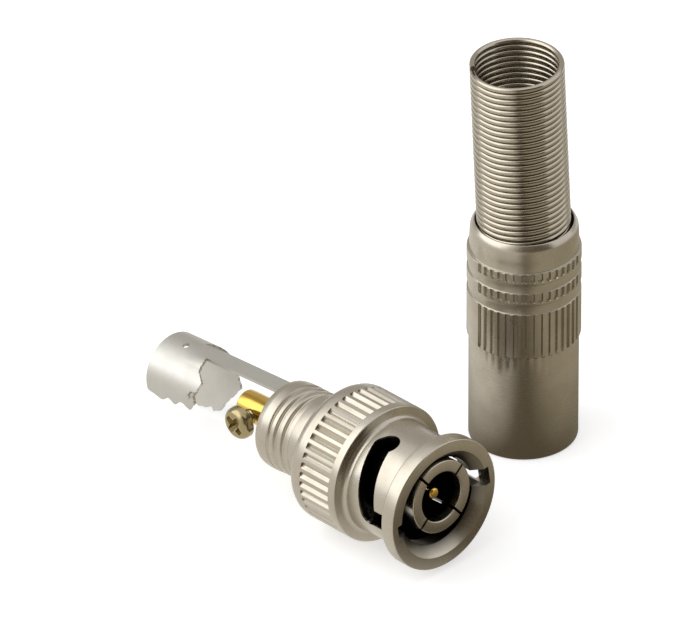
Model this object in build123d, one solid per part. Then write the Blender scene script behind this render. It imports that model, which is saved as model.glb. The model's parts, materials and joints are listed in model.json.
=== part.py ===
from build123d import *
import os
from copy import copy
from math import asin, atan2, cos, degrees, radians, sin

# Bayonet plug for a coaxial cable, with its screw-on back shell taken off and stood beside it.
# Millimetres. Each plug piece is drawn along its own axis: the mouth of the coupling ring is at
# x = 0, everything behind it has a negative x, and a station is a distance behind that mouth.

# Small roundings on turned edges, and how far a cutter reaches past what it cuts
EDGE = 0.15
FINE_EDGE = 0.08
OVERCUT = 1.0

# Outer contact, the split sleeve that slides into the jack
CONTACT_R = 4.05
CONTACT_WALL = 1.30
CONTACT_FRONT = 0.30
CONTACT_LENGTH = 10.70
SLIT_COUNT = 4
SLIT_WIDTH = 0.30
SLIT_LENGTH = 7.20
SLIT_TURN = 38.5

# Coupling ring
MOUTH_CLEARANCE = 0.93
FLANGE_PROUD = 1.16
FLANGE_THICKNESS = 1.75
MOUTH_CHAMFER = 1.05
RELIEF_FRONT = 2.60
RELIEF_DEPTH = 0.47
BARREL_WALL = 1.22
GRIP_WALL = 1.35
GRIP_FRONT = 8.55
GRIP_LENGTH = 7.25
GRIP_SHOULDER = 1.20
GRIP_FRONT_FILLET = 0.55
RIM_WIDTH = 0.95
KNURL_COUNT = 44
KNURL_DEPTH = 0.36
KNURL_WIDTH = 0.73
KNURL_LEAD = 0.30
KNURL_LENGTH = 4.30
CHAMBER_PLAY = 0.30
CHAMBER_FRONT_WALL = 1.05
LIP_WIDTH = 0.80
DROOP_PLAY = 0.85

# Bayonet slots, one each side
LUG_SLOT_WIDTH = 2.30
LUG_ENTRY_WIDTH = 2.10
LUG_ENTRY_TURN = 187.0
LUG_ENTRY_DEPTH = 1.57
LUG_SLOT_START = 4.97
LUG_SLOT_END = 6.35
LUG_SLOT_SWEEP = 72.0
LUG_DETENT_TURN = 78.0
LUG_DETENT_DEPTH = 0.45
LUG_SLOT_COUNT = 2

# Stack of washers inside the ring
RUNNING_GAP = 0.10
STACK_GAP = 0.05
SLIP_WASHER_THICKNESS = 0.40
WAVE_THICKNESS = 0.20
WAVE_RISE = 0.42
RETAINING_THICKNESS = 0.60
RETAINING_GAP_WIDTH = 1.20
RETAINING_PLAY = 0.30
WASHER_PLAY = 0.40
WASHER_WIDTH = 1.05

# Plug body
NOSE_WALL = 0.50
NOSE_REACH = 1.70
HUB_STEP = 0.40
GROOVE_DEPTH = 0.45
GROOVE_SLACK = 0.60
THREAD_STEP = 0.10
THREAD_DEPTH = 0.34
THREAD_PITCH = 1.17
THREAD_TURNS = 3
THREAD_GROOVE_SHARE = 0.66
THREAD_FLOOR_SHARE = 0.23
THREAD_GAP = 2.60
COLLAR_STEP = 0.07
COLLAR_WIDTH = 1.85
COLLAR_ROUND = 0.30
COLLAR_TAPER = 0.80
COLLAR_NARROWING = 0.10
CUP_WALL = 0.40
CUP_DEPTH = 2.10
BORE_STEP = 0.05
FIT_GAP = 0.02

# Gasket on the nose of the body
GASKET_THICKNESS = 0.90
GASKET_STEP = 0.05

# Insulators and centre contact
INSULATOR_SETBACK = 6.20
PIN_R = 0.67
PIN_SETBACK = 1.00
PIN_TIP = 0.35
PIN_NECK_R = 0.95
SHANK_R = 1.20
SHANK_LENGTH = 2.80
CONTACT_FLANGE_INSET = 0.68
CONTACT_FLANGE_DEPTH = 1.40
CONTACT_FLANGE_WIDTH = 0.80
INSULATOR_HUB_INSET = 0.18
POST_R = 1.62
POST_GAP = 0.04
POST_LENGTH = 6.30
WIRE_HOLE_R = 0.75
WIRE_HOLE_DEPTH = 7.00

# Terminal screw, standing partly out of the post
SCREW_R = 0.75
SCREW_BEHIND = 4.10
SCREW_TURN = 182.0
SCREW_HEAD_R = 1.80
SCREW_HEAD_HEIGHT = 1.25
SCREW_HEAD_DOME = 0.75
SCREW_LENGTH = 1.88
SCREW_LIFT = 1.05
RECESS_ARM = 0.60
RECESS_SPAN = 2.35
RECESS_DEPTH = 0.75

# Cable clamp, one folded sheet
SHEET = 0.34
CLAMP_PLAY = 0.06
STRAP_CLEARANCE = 0.10
STRAP_WIDTH = 2.15
CLAMP_SAG = 0.60
CLAW_R = 4.00
CLAW_GAP = 3.30
CLAW_LENGTH = 8.00
LEG_TURN = -16.0
LEG_DROP = 5.55
LEG_TIP_BEHIND = 7.30
STRAP_OVERLAP = 4.30
PIERCING_R = 0.38
PIERCING_BEHIND = 5.10
PIERCING_SIDE = -0.55

# Torn lower edges of the claw's two halves: share of its length behind its front, and height above its
# centre as a share of its radius. The far half ends in its lowest tooth.
NEAR_EDGE = [
    (0.169, 0.963), (0.150, 0.800), (0.075, 0.700), (0.000, 0.575), (0.050, 0.400), (0.094, 0.225),
    (0.075, -0.025), (0.181, -0.275), (0.263, -0.212), (0.350, -0.150), (0.438, -0.287),
    (0.525, -0.325), (0.600, -0.212), (0.738, -0.375), (0.825, -0.375), (0.900, -0.300),
    (1.000, -0.225),
]
FAR_EDGE = [
    (0.487, 0.975), (0.362, 0.450), (0.300, -0.075), (0.188, -0.450), (0.263, -0.613),
    (0.362, -0.800), (0.425, -1.000), (0.525, -1.225), (0.625, -1.350), (0.662, -1.212),
    (0.775, -1.300),
]
FAR_EDGE_REAR = -1.275

# Back shell
SHELL_THREAD_PLAY = 0.17
SHELL_THREAD_DEPTH = 0.34
SHELL_WALL = 0.45
SHELL_THREAD_LENGTH = 6.00
SHELL_FOOT_ROUND = 0.25
SHELL_HEIGHT = 26.55
BAND_PROUD = 0.22
CROWN_HEIGHT = 3.21
TOP_BAND_WIDTH = 1.42
UPPER_GROOVE_WIDTH = 0.99
MIDDLE_BAND_WIDTH = 1.55
LOWER_GROOVE_WIDTH = 1.05
LOW_BAND_WIDTH = 5.62
CROWN_LIP = 0.18
SHELL_CROWN_WALL = 0.95
SHELL_CROWN_ROUND = 1.90
SHELL_SHOULDER_ROUND = 1.20
SHELL_THREAD_RUNOUT = 0.40
SHELL_KNURL_COUNT = 43
SHELL_KNURL_DEPTH = 0.24
SHELL_KNURL_WIDTH = 0.42
SHELL_KNURL_RIM = 0.45
SHELL_KNURL_SECTOR = 62.0
SHELL_KNURL_TURN = 7.6
BAND_BEVEL = 0.15
BAND_STEP = 0.25
NECK_STEP = 0.05
CROWN_FACE = 0.12

# Strain relief spring
WIRE_R = 0.32
SPRING_PLAY = 0.21
SPRING_PITCH = 0.675
SPRING_TURNS = 31.0
SPRING_REACH = 0.75
SPRING_LEAN = 2.35
FLARE_CATCH = 0.12
FLARE_LIFT = 0.10
WIRE_SIDES = 6

# Where the shell stands, seen from the mouth of the plug
SHELL_BEHIND = 13.19
SHELL_LEFT = 24.16
VIEW_TURN = 46.8

# Radii worked out from the sizes above
contact_bore_r = CONTACT_R - CONTACT_WALL
nose_r = CONTACT_R + NOSE_WALL
groove_r = nose_r - GROOVE_DEPTH
hub_r = nose_r + HUB_STEP
thread_r = hub_r - THREAD_STEP
collar_r = hub_r - COLLAR_STEP
cup_r = collar_r - CUP_WALL
body_bore_r = contact_bore_r + BORE_STEP
insulator_r = body_bore_r - FIT_GAP
washer_bore_r = nose_r + WASHER_PLAY
washer_r = washer_bore_r + WASHER_WIDTH
chamber_r = washer_r + CHAMBER_PLAY
grip_r = chamber_r + GRIP_WALL
ring_bore_r = CONTACT_R + MOUTH_CLEARANCE
barrel_r = ring_bore_r + BARREL_WALL
flange_r = barrel_r + FLANGE_PROUD
lip_r = hub_r + RUNNING_GAP
strap_top = cup_r - STRAP_CLEARANCE
shell_thread_r = thread_r + SHELL_THREAD_PLAY
shell_bore_r = shell_thread_r + SHELL_THREAD_DEPTH
shell_r = shell_bore_r + SHELL_WALL
band_r = shell_r + BAND_PROUD
shell_hole_r = shell_bore_r - CROWN_LIP
spring_r = shell_hole_r - SPRING_PLAY
flare_r = shell_hole_r + FLARE_CATCH

# Stations along the plug, behind its mouth
contact_rear = CONTACT_FRONT + CONTACT_LENGTH
pin_front = CONTACT_FRONT + PIN_SETBACK
insulator_front = CONTACT_FRONT + INSULATOR_SETBACK
nose_front = contact_rear - NOSE_REACH
chamber_front = GRIP_FRONT + CHAMBER_FRONT_WALL
knurl_front = GRIP_FRONT + RIM_WIDTH
ring_rear = GRIP_FRONT + GRIP_LENGTH
grip_full_rear = ring_rear - GRIP_SHOULDER
lip_front = ring_rear - LIP_WIDTH
lip_middle = ring_rear - LIP_WIDTH / 2
slip_front = lip_front - SLIP_WASHER_THICKNESS - FIT_GAP
wave_rear_front = slip_front - STACK_GAP - WAVE_RISE - WAVE_THICKNESS
wave_front_front = wave_rear_front - STACK_GAP - WAVE_RISE - WAVE_THICKNESS
retaining_front = wave_front_front - STACK_GAP - RETAINING_THICKNESS
thread_front = ring_rear + THREAD_GAP
collar_front = thread_front + THREAD_TURNS * THREAD_PITCH
body_rear = collar_front + COLLAR_WIDTH
contact_flange_front = thread_front - CONTACT_FLANGE_DEPTH
shank_front = contact_flange_front - SHANK_LENGTH
post_front = body_rear + POST_GAP
post_rear = post_front + POST_LENGTH
screw_station = post_front + SCREW_BEHIND
claw_front = post_rear + CLAW_GAP
claw_rear = claw_front + CLAW_LENGTH

# Heights up the shell, above its open foot
crown_underside = SHELL_HEIGHT - SHELL_CROWN_WALL
top_band_top = SHELL_HEIGHT - CROWN_HEIGHT
top_band_bottom = top_band_top - TOP_BAND_WIDTH
middle_band_top = top_band_bottom - UPPER_GROOVE_WIDTH
middle_band_bottom = middle_band_top - MIDDLE_BAND_WIDTH
low_band_top = middle_band_bottom - LOWER_GROOVE_WIDTH
low_band_bottom = low_band_top - LOW_BAND_WIDTH
spring_base = crown_underside - SPRING_REACH

# The loose ring droops about its rear lip until its mouth nearly meets the contact
droop = degrees(asin(DROOP_PLAY / (lip_middle - CONTACT_FRONT)))
# The plug lies on the grip's rear edge and on the lowest tooth of the claw's far leg
clamp_pivot = body_rear - CUP_DEPTH + FIT_GAP + SHEET
sag_cos = cos(radians(CLAMP_SAG))
sag_sin = sin(radians(CLAMP_SAG))
claw_tip = claw_front + LEG_TIP_BEHIND
claw_drop = CLAW_R + LEG_DROP
corner_station = clamp_pivot + (claw_tip - clamp_pivot) * sag_cos - claw_drop * sag_sin
corner_low = (claw_tip - clamp_pivot) * sag_sin + claw_drop * sag_cos - strap_top
shoulder_offset = lip_middle - grip_full_rear
droop_cos = cos(radians(droop))
droop_sin = sin(radians(droop))
reach = corner_station - lip_middle + shoulder_offset * droop_cos - grip_r * droop_sin
fall = grip_r * droop_cos + shoulder_offset * droop_sin - corner_low
plug_pitch = degrees(atan2(fall, reach))
mouth_height = corner_station * sin(radians(plug_pitch)) + corner_low * cos(radians(plug_pitch))


def turned(profile):
    """Solid of revolution about X from rows of station, radius and, where wanted, corner rounding."""
    face = make_face(Polyline(*[(-row[0], row[1]) for row in profile], close=True))
    for row in profile:
        if len(row) == 3:
            corner = face.vertices().sort_by_distance((-row[0], row[1], 0))[0]
            face = fillet(corner, row[2])
    return revolve(face, Axis.X)


def radial(solid, station, turn):
    """Places a tool drawn along +Z so that it points out of the axis at a station and an angle."""
    return Location((-station, 0, 0), (0, 0, 0)) * Rotation(turn - 90, 0, 0) * solid


def around(solid, count, start=0.0):
    """Copies of a tool, evenly spaced about the X axis."""
    return [Rotation(start + 360 * i / count, 0, 0) * solid for i in range(count)]


def make_outer_contact():
    sleeve = turned([(CONTACT_FRONT, contact_bore_r, EDGE), (CONTACT_FRONT, CONTACT_R, EDGE),
                     (contact_rear, CONTACT_R), (contact_rear, contact_bore_r)])
    slit = Box(SLIT_LENGTH + OVERCUT, SLIT_WIDTH, CONTACT_R, align=(Align.MAX, Align.CENTER, Align.MIN))
    slit = Rotation(SLIT_TURN - 90, 0, 0) * Location((OVERCUT - CONTACT_FRONT, 0, contact_bore_r / 2)) * slit
    return sleeve - around(slit, SLIT_COUNT)


def lug_slot():
    """Entry, helical run and detent of one bayonet slot, as a cutting tool."""
    inside = ring_bore_r - OVERCUT
    depth = barrel_r + OVERCUT - inside
    entry_r = ring_bore_r + LUG_ENTRY_DEPTH
    rise = LUG_SLOT_END - LUG_SLOT_START
    path = Location((-LUG_SLOT_START, 0, 0)) * Helix(
        pitch=rise * 360 / LUG_SLOT_SWEEP, height=rise, radius=inside + depth / 2, direction=(-1, 0, 0))
    start = path @ 0
    finish = path @ 1
    start_turn = degrees(atan2(start.Z, start.Y))
    way = 1 if degrees(atan2(finish.Z, finish.Y)) > start_turn else -1
    outwards = (0, cos(radians(start_turn)), sin(radians(start_turn)))
    across = Plane(origin=start, x_dir=outwards, z_dir=path % 0)
    run = sweep(across * Rectangle(depth, LUG_SLOT_WIDTH), path=path, is_frenet=True)
    cutter = Location((0, 0, inside)) * Cylinder(
        LUG_SLOT_WIDTH / 2, depth, align=(Align.CENTER, Align.CENTER, Align.MIN))
    first = radial(cutter, LUG_SLOT_START, start_turn)
    last = radial(cutter, LUG_SLOT_END, start_turn + way * LUG_SLOT_SWEEP)
    detent = radial(cutter, LUG_SLOT_END - LUG_DETENT_DEPTH, start_turn + way * LUG_DETENT_TURN)
    entry = Location((OVERCUT, 0, inside)) * Box(LUG_SLOT_START + OVERCUT, LUG_ENTRY_WIDTH, entry_r - inside,
                                                 align=(Align.MAX, Align.CENTER, Align.MIN))
    entry = Rotation(start_turn - 90, 0, 0) * entry
    return Rotation(LUG_ENTRY_TURN - start_turn, 0, 0) * (run + first + last + detent + entry)


def make_coupling_ring():
    relief_r = ring_bore_r + RELIEF_DEPTH
    ring = turned([
        (0, ring_bore_r + MOUTH_CHAMFER, FINE_EDGE), (0, flange_r, EDGE), (FLANGE_THICKNESS, flange_r, EDGE),
        (FLANGE_THICKNESS, barrel_r, EDGE), (GRIP_FRONT, barrel_r, GRIP_FRONT_FILLET),
        (GRIP_FRONT, grip_r, EDGE), (ring_rear, grip_r, GRIP_SHOULDER), (ring_rear, lip_r, EDGE),
        (lip_front, lip_r), (lip_front, chamber_r), (chamber_front, chamber_r),
        (chamber_front, relief_r), (RELIEF_FRONT, relief_r), (RELIEF_FRONT, ring_bore_r),
        (MOUTH_CHAMFER, ring_bore_r)])
    half_width = KNURL_WIDTH / 2 * (1 + KNURL_LEAD / KNURL_DEPTH)
    section = make_face(Polyline((grip_r - KNURL_DEPTH, 0), (grip_r + KNURL_LEAD, half_width),
                                 (grip_r + KNURL_LEAD, -half_width), close=True))
    groove = Location((-knurl_front, 0, 0)) * Rotation(0, -90, 0) * extrude(section, KNURL_LENGTH)
    ring -= around(groove, KNURL_COUNT)
    return ring - around(lug_slot(), LUG_SLOT_COUNT)


def make_slip_washer():
    rear = slip_front + SLIP_WASHER_THICKNESS
    return turned([(slip_front, washer_bore_r), (slip_front, washer_r), (rear, washer_r),
                   (rear, washer_bore_r)])


def curved_washer(front, bend_turn, belly):
    """A ring cut out of a thin sheet that is bent about one diameter; belly is +1 or -1 along X."""
    bend_r = washer_r ** 2 / (2 * WAVE_RISE) + WAVE_RISE / 2
    height = WAVE_RISE + WAVE_THICKNESS
    span = 2 * washer_r + OVERCUT
    edge_x = -front if belly > 0 else -front - height
    sheet = Location((edge_x - belly * bend_r, 0, 0)) * (
        Cylinder(bend_r, span) - Cylinder(bend_r - WAVE_THICKNESS, span + OVERCUT))
    blank = turned([(front - OVERCUT, washer_bore_r), (front - OVERCUT, washer_r),
                    (front + height + OVERCUT, washer_r), (front + height + OVERCUT, washer_bore_r)])
    return Rotation(bend_turn, 0, 0) * (sheet & blank)


def make_retaining_ring():
    rear = retaining_front + RETAINING_THICKNESS
    inner = groove_r + RETAINING_PLAY
    ring = turned([(retaining_front, inner), (retaining_front, washer_r, EDGE), (rear, washer_r, EDGE),
                   (rear, inner)])
    gap = Location((OVERCUT - retaining_front, 0, 0)) * Box(
        RETAINING_THICKNESS + 2 * OVERCUT, RETAINING_GAP_WIDTH, washer_r + OVERCUT,
        align=(Align.MAX, Align.CENTER, Align.MIN))
    return ring - gap


def make_plug_body():
    seat_r = CONTACT_R + FIT_GAP
    seat_rear = contact_rear + FIT_GAP
    groove_front = retaining_front - GROOVE_SLACK / 2
    groove_rear = retaining_front + RETAINING_THICKNESS + GROOVE_SLACK / 2
    shoulder = slip_front + SLIP_WASHER_THICKNESS + 2 * RUNNING_GAP
    body = turned([
        (nose_front, seat_r), (nose_front, nose_r, EDGE), (groove_front, nose_r), (groove_front, groove_r),
        (groove_rear, groove_r), (groove_rear, nose_r), (shoulder, nose_r), (shoulder, hub_r, FINE_EDGE),
        (thread_front, hub_r, (hub_r - thread_r) / 2), (thread_front, thread_r), (collar_front, thread_r),
        (collar_front, collar_r), (body_rear - COLLAR_TAPER, collar_r, COLLAR_TAPER / 2),
        (body_rear, collar_r - COLLAR_NARROWING, COLLAR_ROUND), (body_rear, cup_r),
        (body_rear - CUP_DEPTH, cup_r), (body_rear - CUP_DEPTH, body_bore_r),
        (seat_rear, body_bore_r), (seat_rear, seat_r)])
    for i in range(THREAD_TURNS):
        middle = thread_front + (i + 0.5) * THREAD_PITCH
        half = THREAD_PITCH * THREAD_GROOVE_SHARE / 2
        floor_half = THREAD_PITCH * THREAD_FLOOR_SHARE / 2
        floor_r = thread_r - THREAD_DEPTH
        body -= turned([(middle - half, collar_r), (middle - floor_half, floor_r),
                        (middle + floor_half, floor_r), (middle + half, collar_r)])
    return body


def make_front_gasket():
    front = nose_front - FIT_GAP - GASKET_THICKNESS
    bore_r = CONTACT_R + FIT_GAP
    gasket_r = nose_r - GASKET_STEP
    return turned([(front, bore_r), (front, gasket_r, EDGE), (nose_front - FIT_GAP, gasket_r, EDGE),
                   (nose_front - FIT_GAP, bore_r)])


def make_insulator_front():
    rear = contact_flange_front - FIT_GAP
    front_r = contact_bore_r - FIT_GAP
    step = contact_rear + 2 * FIT_GAP
    return turned([(insulator_front, PIN_NECK_R + FIT_GAP), (insulator_front, front_r, FINE_EDGE),
                   (step, front_r), (step, insulator_r), (rear, insulator_r),
                   (rear, SHANK_R + FIT_GAP), (shank_front - FIT_GAP, SHANK_R + FIT_GAP),
                   (shank_front - FIT_GAP, PIN_NECK_R + FIT_GAP)])


def make_insulator_rear():
    front = contact_flange_front + CONTACT_FLANGE_WIDTH + FIT_GAP
    shoulder = body_rear - CUP_DEPTH
    rear = post_front - FIT_GAP
    insulator_hub_r = insulator_r - INSULATOR_HUB_INSET
    return turned([(front, SHANK_R + FIT_GAP), (front, insulator_r), (shoulder, insulator_r),
                   (shoulder, insulator_hub_r), (rear, insulator_hub_r, EDGE), (rear, SHANK_R + FIT_GAP)])


def make_centre_contact():
    flange_rear = contact_flange_front + CONTACT_FLANGE_WIDTH
    contact_flange_r = insulator_r - CONTACT_FLANGE_INSET
    contact = turned([
        (pin_front, 0), (pin_front, PIN_R, PIN_TIP), (insulator_front, PIN_R), (insulator_front, PIN_NECK_R),
        (shank_front, PIN_NECK_R), (shank_front, SHANK_R),
        (contact_flange_front, SHANK_R), (contact_flange_front, contact_flange_r),
        (flange_rear, contact_flange_r), (flange_rear, SHANK_R), (post_front, SHANK_R), (post_front, POST_R),
        (post_rear, POST_R, EDGE), (post_rear, WIRE_HOLE_R),
        (post_rear - WIRE_HOLE_DEPTH, WIRE_HOLE_R), (post_rear - WIRE_HOLE_DEPTH, 0)])
    drill = Cylinder(SCREW_R + RUNNING_GAP / 2, POST_R + OVERCUT,
                     align=(Align.CENTER, Align.CENTER, Align.MIN))
    return contact - radial(drill, screw_station, SCREW_TURN)


def make_terminal_screw():
    under_head = POST_R + SCREW_LIFT
    tip = under_head - SCREW_LENGTH
    shank = Location((0, 0, tip)) * Cylinder(
        SCREW_R, SCREW_LENGTH + SCREW_HEAD_HEIGHT / 2, align=(Align.CENTER, Align.CENTER, Align.MIN))
    head = Location((0, 0, under_head)) * Cylinder(SCREW_HEAD_R, SCREW_HEAD_HEIGHT,
                                                   align=(Align.CENTER, Align.CENTER, Align.MIN))
    head = fillet(head.edges().sort_by(Axis.Z)[-1], SCREW_HEAD_DOME)
    top = under_head + SCREW_HEAD_HEIGHT
    arm = Location((0, 0, top)) * Box(RECESS_SPAN, RECESS_ARM, RECESS_DEPTH * 2)
    screw = shank + head - arm - Rotation(0, 0, 90) * arm
    return radial(screw, screw_station, SCREW_TURN)


def wing(outline, side):
    """Everything above the torn edge of one half of the claw: rows of distance behind its front, height."""
    reach = 3 * CLAW_R
    rear = -claw_rear - OVERCUT
    points = [(-claw_front - back, height) for back, height in outline]
    points += [(rear, outline[-1][1]), (rear, reach), (-claw_front - outline[0][0], reach)]
    return Rotation(90, 0, 0) * extrude(make_face(Polyline(*points, close=True)), -side * reach)


def make_cable_clamp():
    front = claw_front - OVERCUT
    inner = CLAW_R - SHEET
    band = turned([(front, inner), (front, CLAW_R), (claw_rear, CLAW_R), (claw_rear, inner)])
    below_leg = Rotation(LEG_TURN, 0, 0) * Box(3 * claw_rear, 2 * CLAW_R, 2 * CLAW_R,
                                               align=(Align.CENTER, Align.MIN, Align.MAX))
    leg = Location((-claw_rear, CLAW_R, 0)) * Box(CLAW_LENGTH + OVERCUT, SHEET, 2 * LEG_DROP,
                                                  align=(Align.MIN, Align.MAX, Align.MAX))
    near = [(CLAW_LENGTH * back, CLAW_R * height) for back, height in NEAR_EDGE]
    far = [(CLAW_LENGTH * back, CLAW_R * height) for back, height in FAR_EDGE]
    far += [(LEG_TIP_BEHIND, -LEG_DROP), (CLAW_LENGTH, CLAW_R * FAR_EDGE_REAR)]
    claw = ((band - below_leg) + Rotation(LEG_TURN, 0, 0) * leg) & (wing(near, -1) + wing(far, 1))
    claw = Location((0, 0, strap_top - CLAW_R)) * claw
    strap_rear = claw_front + STRAP_OVERLAP
    strap = Location((-clamp_pivot + SHEET, 0, strap_top)) * Box(
        strap_rear - clamp_pivot + SHEET, STRAP_WIDTH, SHEET, align=(Align.MAX, Align.CENTER, Align.MAX))
    hole = Location((-claw_front - PIERCING_BEHIND, PIERCING_SIDE, 0)) * Cylinder(
        PIERCING_R, 2 * strap_top, align=(Align.CENTER, Align.CENTER, Align.MIN))
    to_pivot = Location((-clamp_pivot, 0, strap_top))
    sagging = to_pivot * Rotation(0, -CLAMP_SAG, 0) * to_pivot.inverse() * (claw + strap - hole)
    hole_r = insulator_r - INSULATOR_HUB_INSET + FIT_GAP
    base_r = cup_r - CLAMP_PLAY
    base = turned([(clamp_pivot - SHEET, hole_r), (clamp_pivot - SHEET, base_r), (clamp_pivot, base_r),
                   (clamp_pivot, hole_r)])
    return sagging + base


def make_back_shell():
    band_floor_r = shell_r + EDGE / 2
    neck_r = shell_r - NECK_STEP
    shoulder = SHELL_HEIGHT - SHELL_CROWN_ROUND
    bore_front = SHELL_THREAD_LENGTH + SHELL_THREAD_RUNOUT
    outline = make_face(Polyline(
        (shell_thread_r, 0), (shell_r, 0), (shell_r, low_band_bottom),
        (band_r, low_band_bottom + BAND_STEP),
        (band_r, low_band_top), (band_floor_r, low_band_top), (band_floor_r, middle_band_bottom),
        (band_r, middle_band_bottom + BAND_BEVEL), (band_r, middle_band_top), (band_floor_r, middle_band_top),
        (band_floor_r, top_band_bottom), (band_r, top_band_bottom + BAND_BEVEL), (band_r, top_band_top),
        (neck_r, top_band_top), (neck_r, shoulder), (shell_hole_r + CROWN_FACE, SHELL_HEIGHT),
        (shell_hole_r, SHELL_HEIGHT), (shell_hole_r, crown_underside),
        (shell_bore_r, crown_underside - CROWN_FACE), (shell_bore_r, bore_front),
        (shell_thread_r, SHELL_THREAD_LENGTH), close=True))
    outline = fillet(outline.vertices().sort_by_distance((shell_r, 0, 0))[0], SHELL_FOOT_ROUND)
    outline = fillet(outline.vertices().sort_by_distance((neck_r, shoulder, 0))[0], SHELL_SHOULDER_ROUND)
    shell = revolve(Rotation(90, 0, 0) * outline, Axis.Z)
    pitch = 360 / SHELL_KNURL_COUNT
    side_count = int(SHELL_KNURL_SECTOR / pitch)
    cuts = []
    for low, high in ((low_band_bottom - OVERCUT, low_band_top),
                      (middle_band_bottom + SHELL_KNURL_RIM, middle_band_top),
                      (top_band_bottom + SHELL_KNURL_RIM, top_band_top)):
        line = Location((band_r - SHELL_KNURL_DEPTH, 0, low)) * Box(
            OVERCUT, SHELL_KNURL_WIDTH, high - low + SHELL_KNURL_RIM,
            align=(Align.MIN, Align.CENTER, Align.MIN))
        for side in (0, 180):
            cuts += [Rotation(0, 0, side + i * pitch) * line for i in range(-side_count, side_count + 1)]
    return shell - cuts


def make_spring():
    path = Helix(pitch=SPRING_PITCH, height=SPRING_PITCH * SPRING_TURNS, radius=spring_r - WIRE_R)
    section = RegularPolygon(WIRE_R, WIRE_SIDES)
    coil = sweep(Plane(origin=path @ 0, z_dir=path % 0) * section, path=path, is_frenet=True)
    flare = revolve(Rotation(90, 0, 0) * Location((flare_r - WIRE_R, FLARE_LIFT)) * section, Axis.Z)
    return coil + flare


def plug_places():
    """Where the body and the drooping ring lie, with the mouth of the body above the origin."""
    body_place = Location((0, 0, mouth_height)) * Rotation(0, -plug_pitch, 0)
    to_lip = Location((-lip_middle, 0, 0))
    return body_place, body_place * to_lip * Rotation(0, droop, 0) * to_lip.inverse()


def shell_places():
    """Where the shell stands, and where its spring leans towards the left of the view."""
    foot = Location((-SHELL_BEHIND, SHELL_LEFT, 0))
    lean = radians(SPRING_LEAN)
    view = radians(VIEW_TURN)
    up_spring = (-cos(view) * sin(lean), -sin(view) * sin(lean), cos(lean))
    spring_place = foot * Location((0, 0, spring_base)) * Location(Plane(origin=(0, 0, 0), z_dir=up_spring))
    return foot * Rotation(0, 0, SHELL_KNURL_TURN - 90 + VIEW_TURN), spring_place


def make_pieces():
    body_place, ring_place = plug_places()
    shell_place, spring_place = shell_places()
    on_body = {
        "plug_body": make_plug_body(),
        "outer_contact": make_outer_contact(),
        "front_gasket": make_front_gasket(),
        "insulator_front": make_insulator_front(),
        "insulator_rear": make_insulator_rear(),
        "centre_contact": make_centre_contact(),
        "terminal_screw": make_terminal_screw(),
        "cable_clamp": make_cable_clamp(),
    }
    on_ring = {
        "coupling_ring": make_coupling_ring(),
        "slip_washer": make_slip_washer(),
        "spring_washer_front": curved_washer(wave_front_front, 0, 1),
        "spring_washer_rear": curved_washer(wave_rear_front, 90, -1),
        "retaining_ring": make_retaining_ring(),
    }
    pieces = {name: body_place * piece for name, piece in on_body.items()}
    pieces.update({name: ring_place * piece for name, piece in on_ring.items()})
    pieces["back_shell"] = shell_place * make_back_shell()
    pieces["strain_relief_spring"] = spring_place * make_spring()
    return pieces


def to_origin(pieces):
    """Shift that puts the origin at the middle of the whole part's box, on the floor."""
    whole = Compound(children=[copy(piece) for piece in pieces.values()]).bounding_box()
    return Location((-whole.center().X, -whole.center().Y, -whole.min.Z))


if __name__ == "__main__":
    os.makedirs("parts", exist_ok=True)
    finished = make_pieces()
    origin_shift = to_origin(finished)
    for name, piece in finished.items():
        export_step(origin_shift * piece, f"parts/{name}.step")
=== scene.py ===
"""A bayonet coaxial plug with its back shell taken off, and the stage that it stands on.

Everything is in metres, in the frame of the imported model. Plug pieces are drawn along their own axis: a station
is a distance behind the mouth, and a turn is an angle about the axis, from the frame's +Y up towards +Z.
"""
import json
import math

import bmesh
import bpy
import numpy as np
from bpy.props import FloatProperty, FloatVectorProperty, IntProperty, PointerProperty
from mathutils import Matrix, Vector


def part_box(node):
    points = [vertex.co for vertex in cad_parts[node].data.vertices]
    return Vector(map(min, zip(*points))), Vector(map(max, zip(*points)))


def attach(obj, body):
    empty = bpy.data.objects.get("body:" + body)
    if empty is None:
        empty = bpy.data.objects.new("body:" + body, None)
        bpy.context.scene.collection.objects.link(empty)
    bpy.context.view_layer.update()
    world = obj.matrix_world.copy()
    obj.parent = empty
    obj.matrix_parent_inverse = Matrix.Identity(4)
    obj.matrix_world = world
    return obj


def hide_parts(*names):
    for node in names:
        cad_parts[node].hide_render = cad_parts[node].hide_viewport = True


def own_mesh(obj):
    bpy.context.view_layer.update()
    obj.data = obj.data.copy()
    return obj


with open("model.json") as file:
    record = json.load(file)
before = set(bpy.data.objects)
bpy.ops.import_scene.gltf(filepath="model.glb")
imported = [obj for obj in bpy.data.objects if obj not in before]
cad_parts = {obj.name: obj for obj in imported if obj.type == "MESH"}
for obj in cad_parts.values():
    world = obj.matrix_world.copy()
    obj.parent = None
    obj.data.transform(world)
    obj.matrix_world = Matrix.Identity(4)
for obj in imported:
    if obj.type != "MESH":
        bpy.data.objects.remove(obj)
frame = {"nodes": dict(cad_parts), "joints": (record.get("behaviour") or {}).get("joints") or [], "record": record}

bl_info = {
    "name": "Bayonet Coaxial Plug",
    "version": (1, 0, 0),
    "blender": (4, 5, 0),
    "location": "3D View > Sidebar > Coaxial Plug",
    "description": "Builds the dressed pieces of a bayonet coaxial plug around its solid model",
    "category": "Object",
}

MM = 0.001
UP = np.array((0.0, 0.0, 1.0))
# Faces that meet at more than this angle keep a hard edge, and points closer than this are one
SHARP = math.radians(32)
WELD = 0.002 * MM
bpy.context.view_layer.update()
JOINTS = {joint["name"]: joint for joint in frame["joints"]}
MOUNTS = {mount["name"]: mount for mount in frame["record"]["mounts"]}


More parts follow.
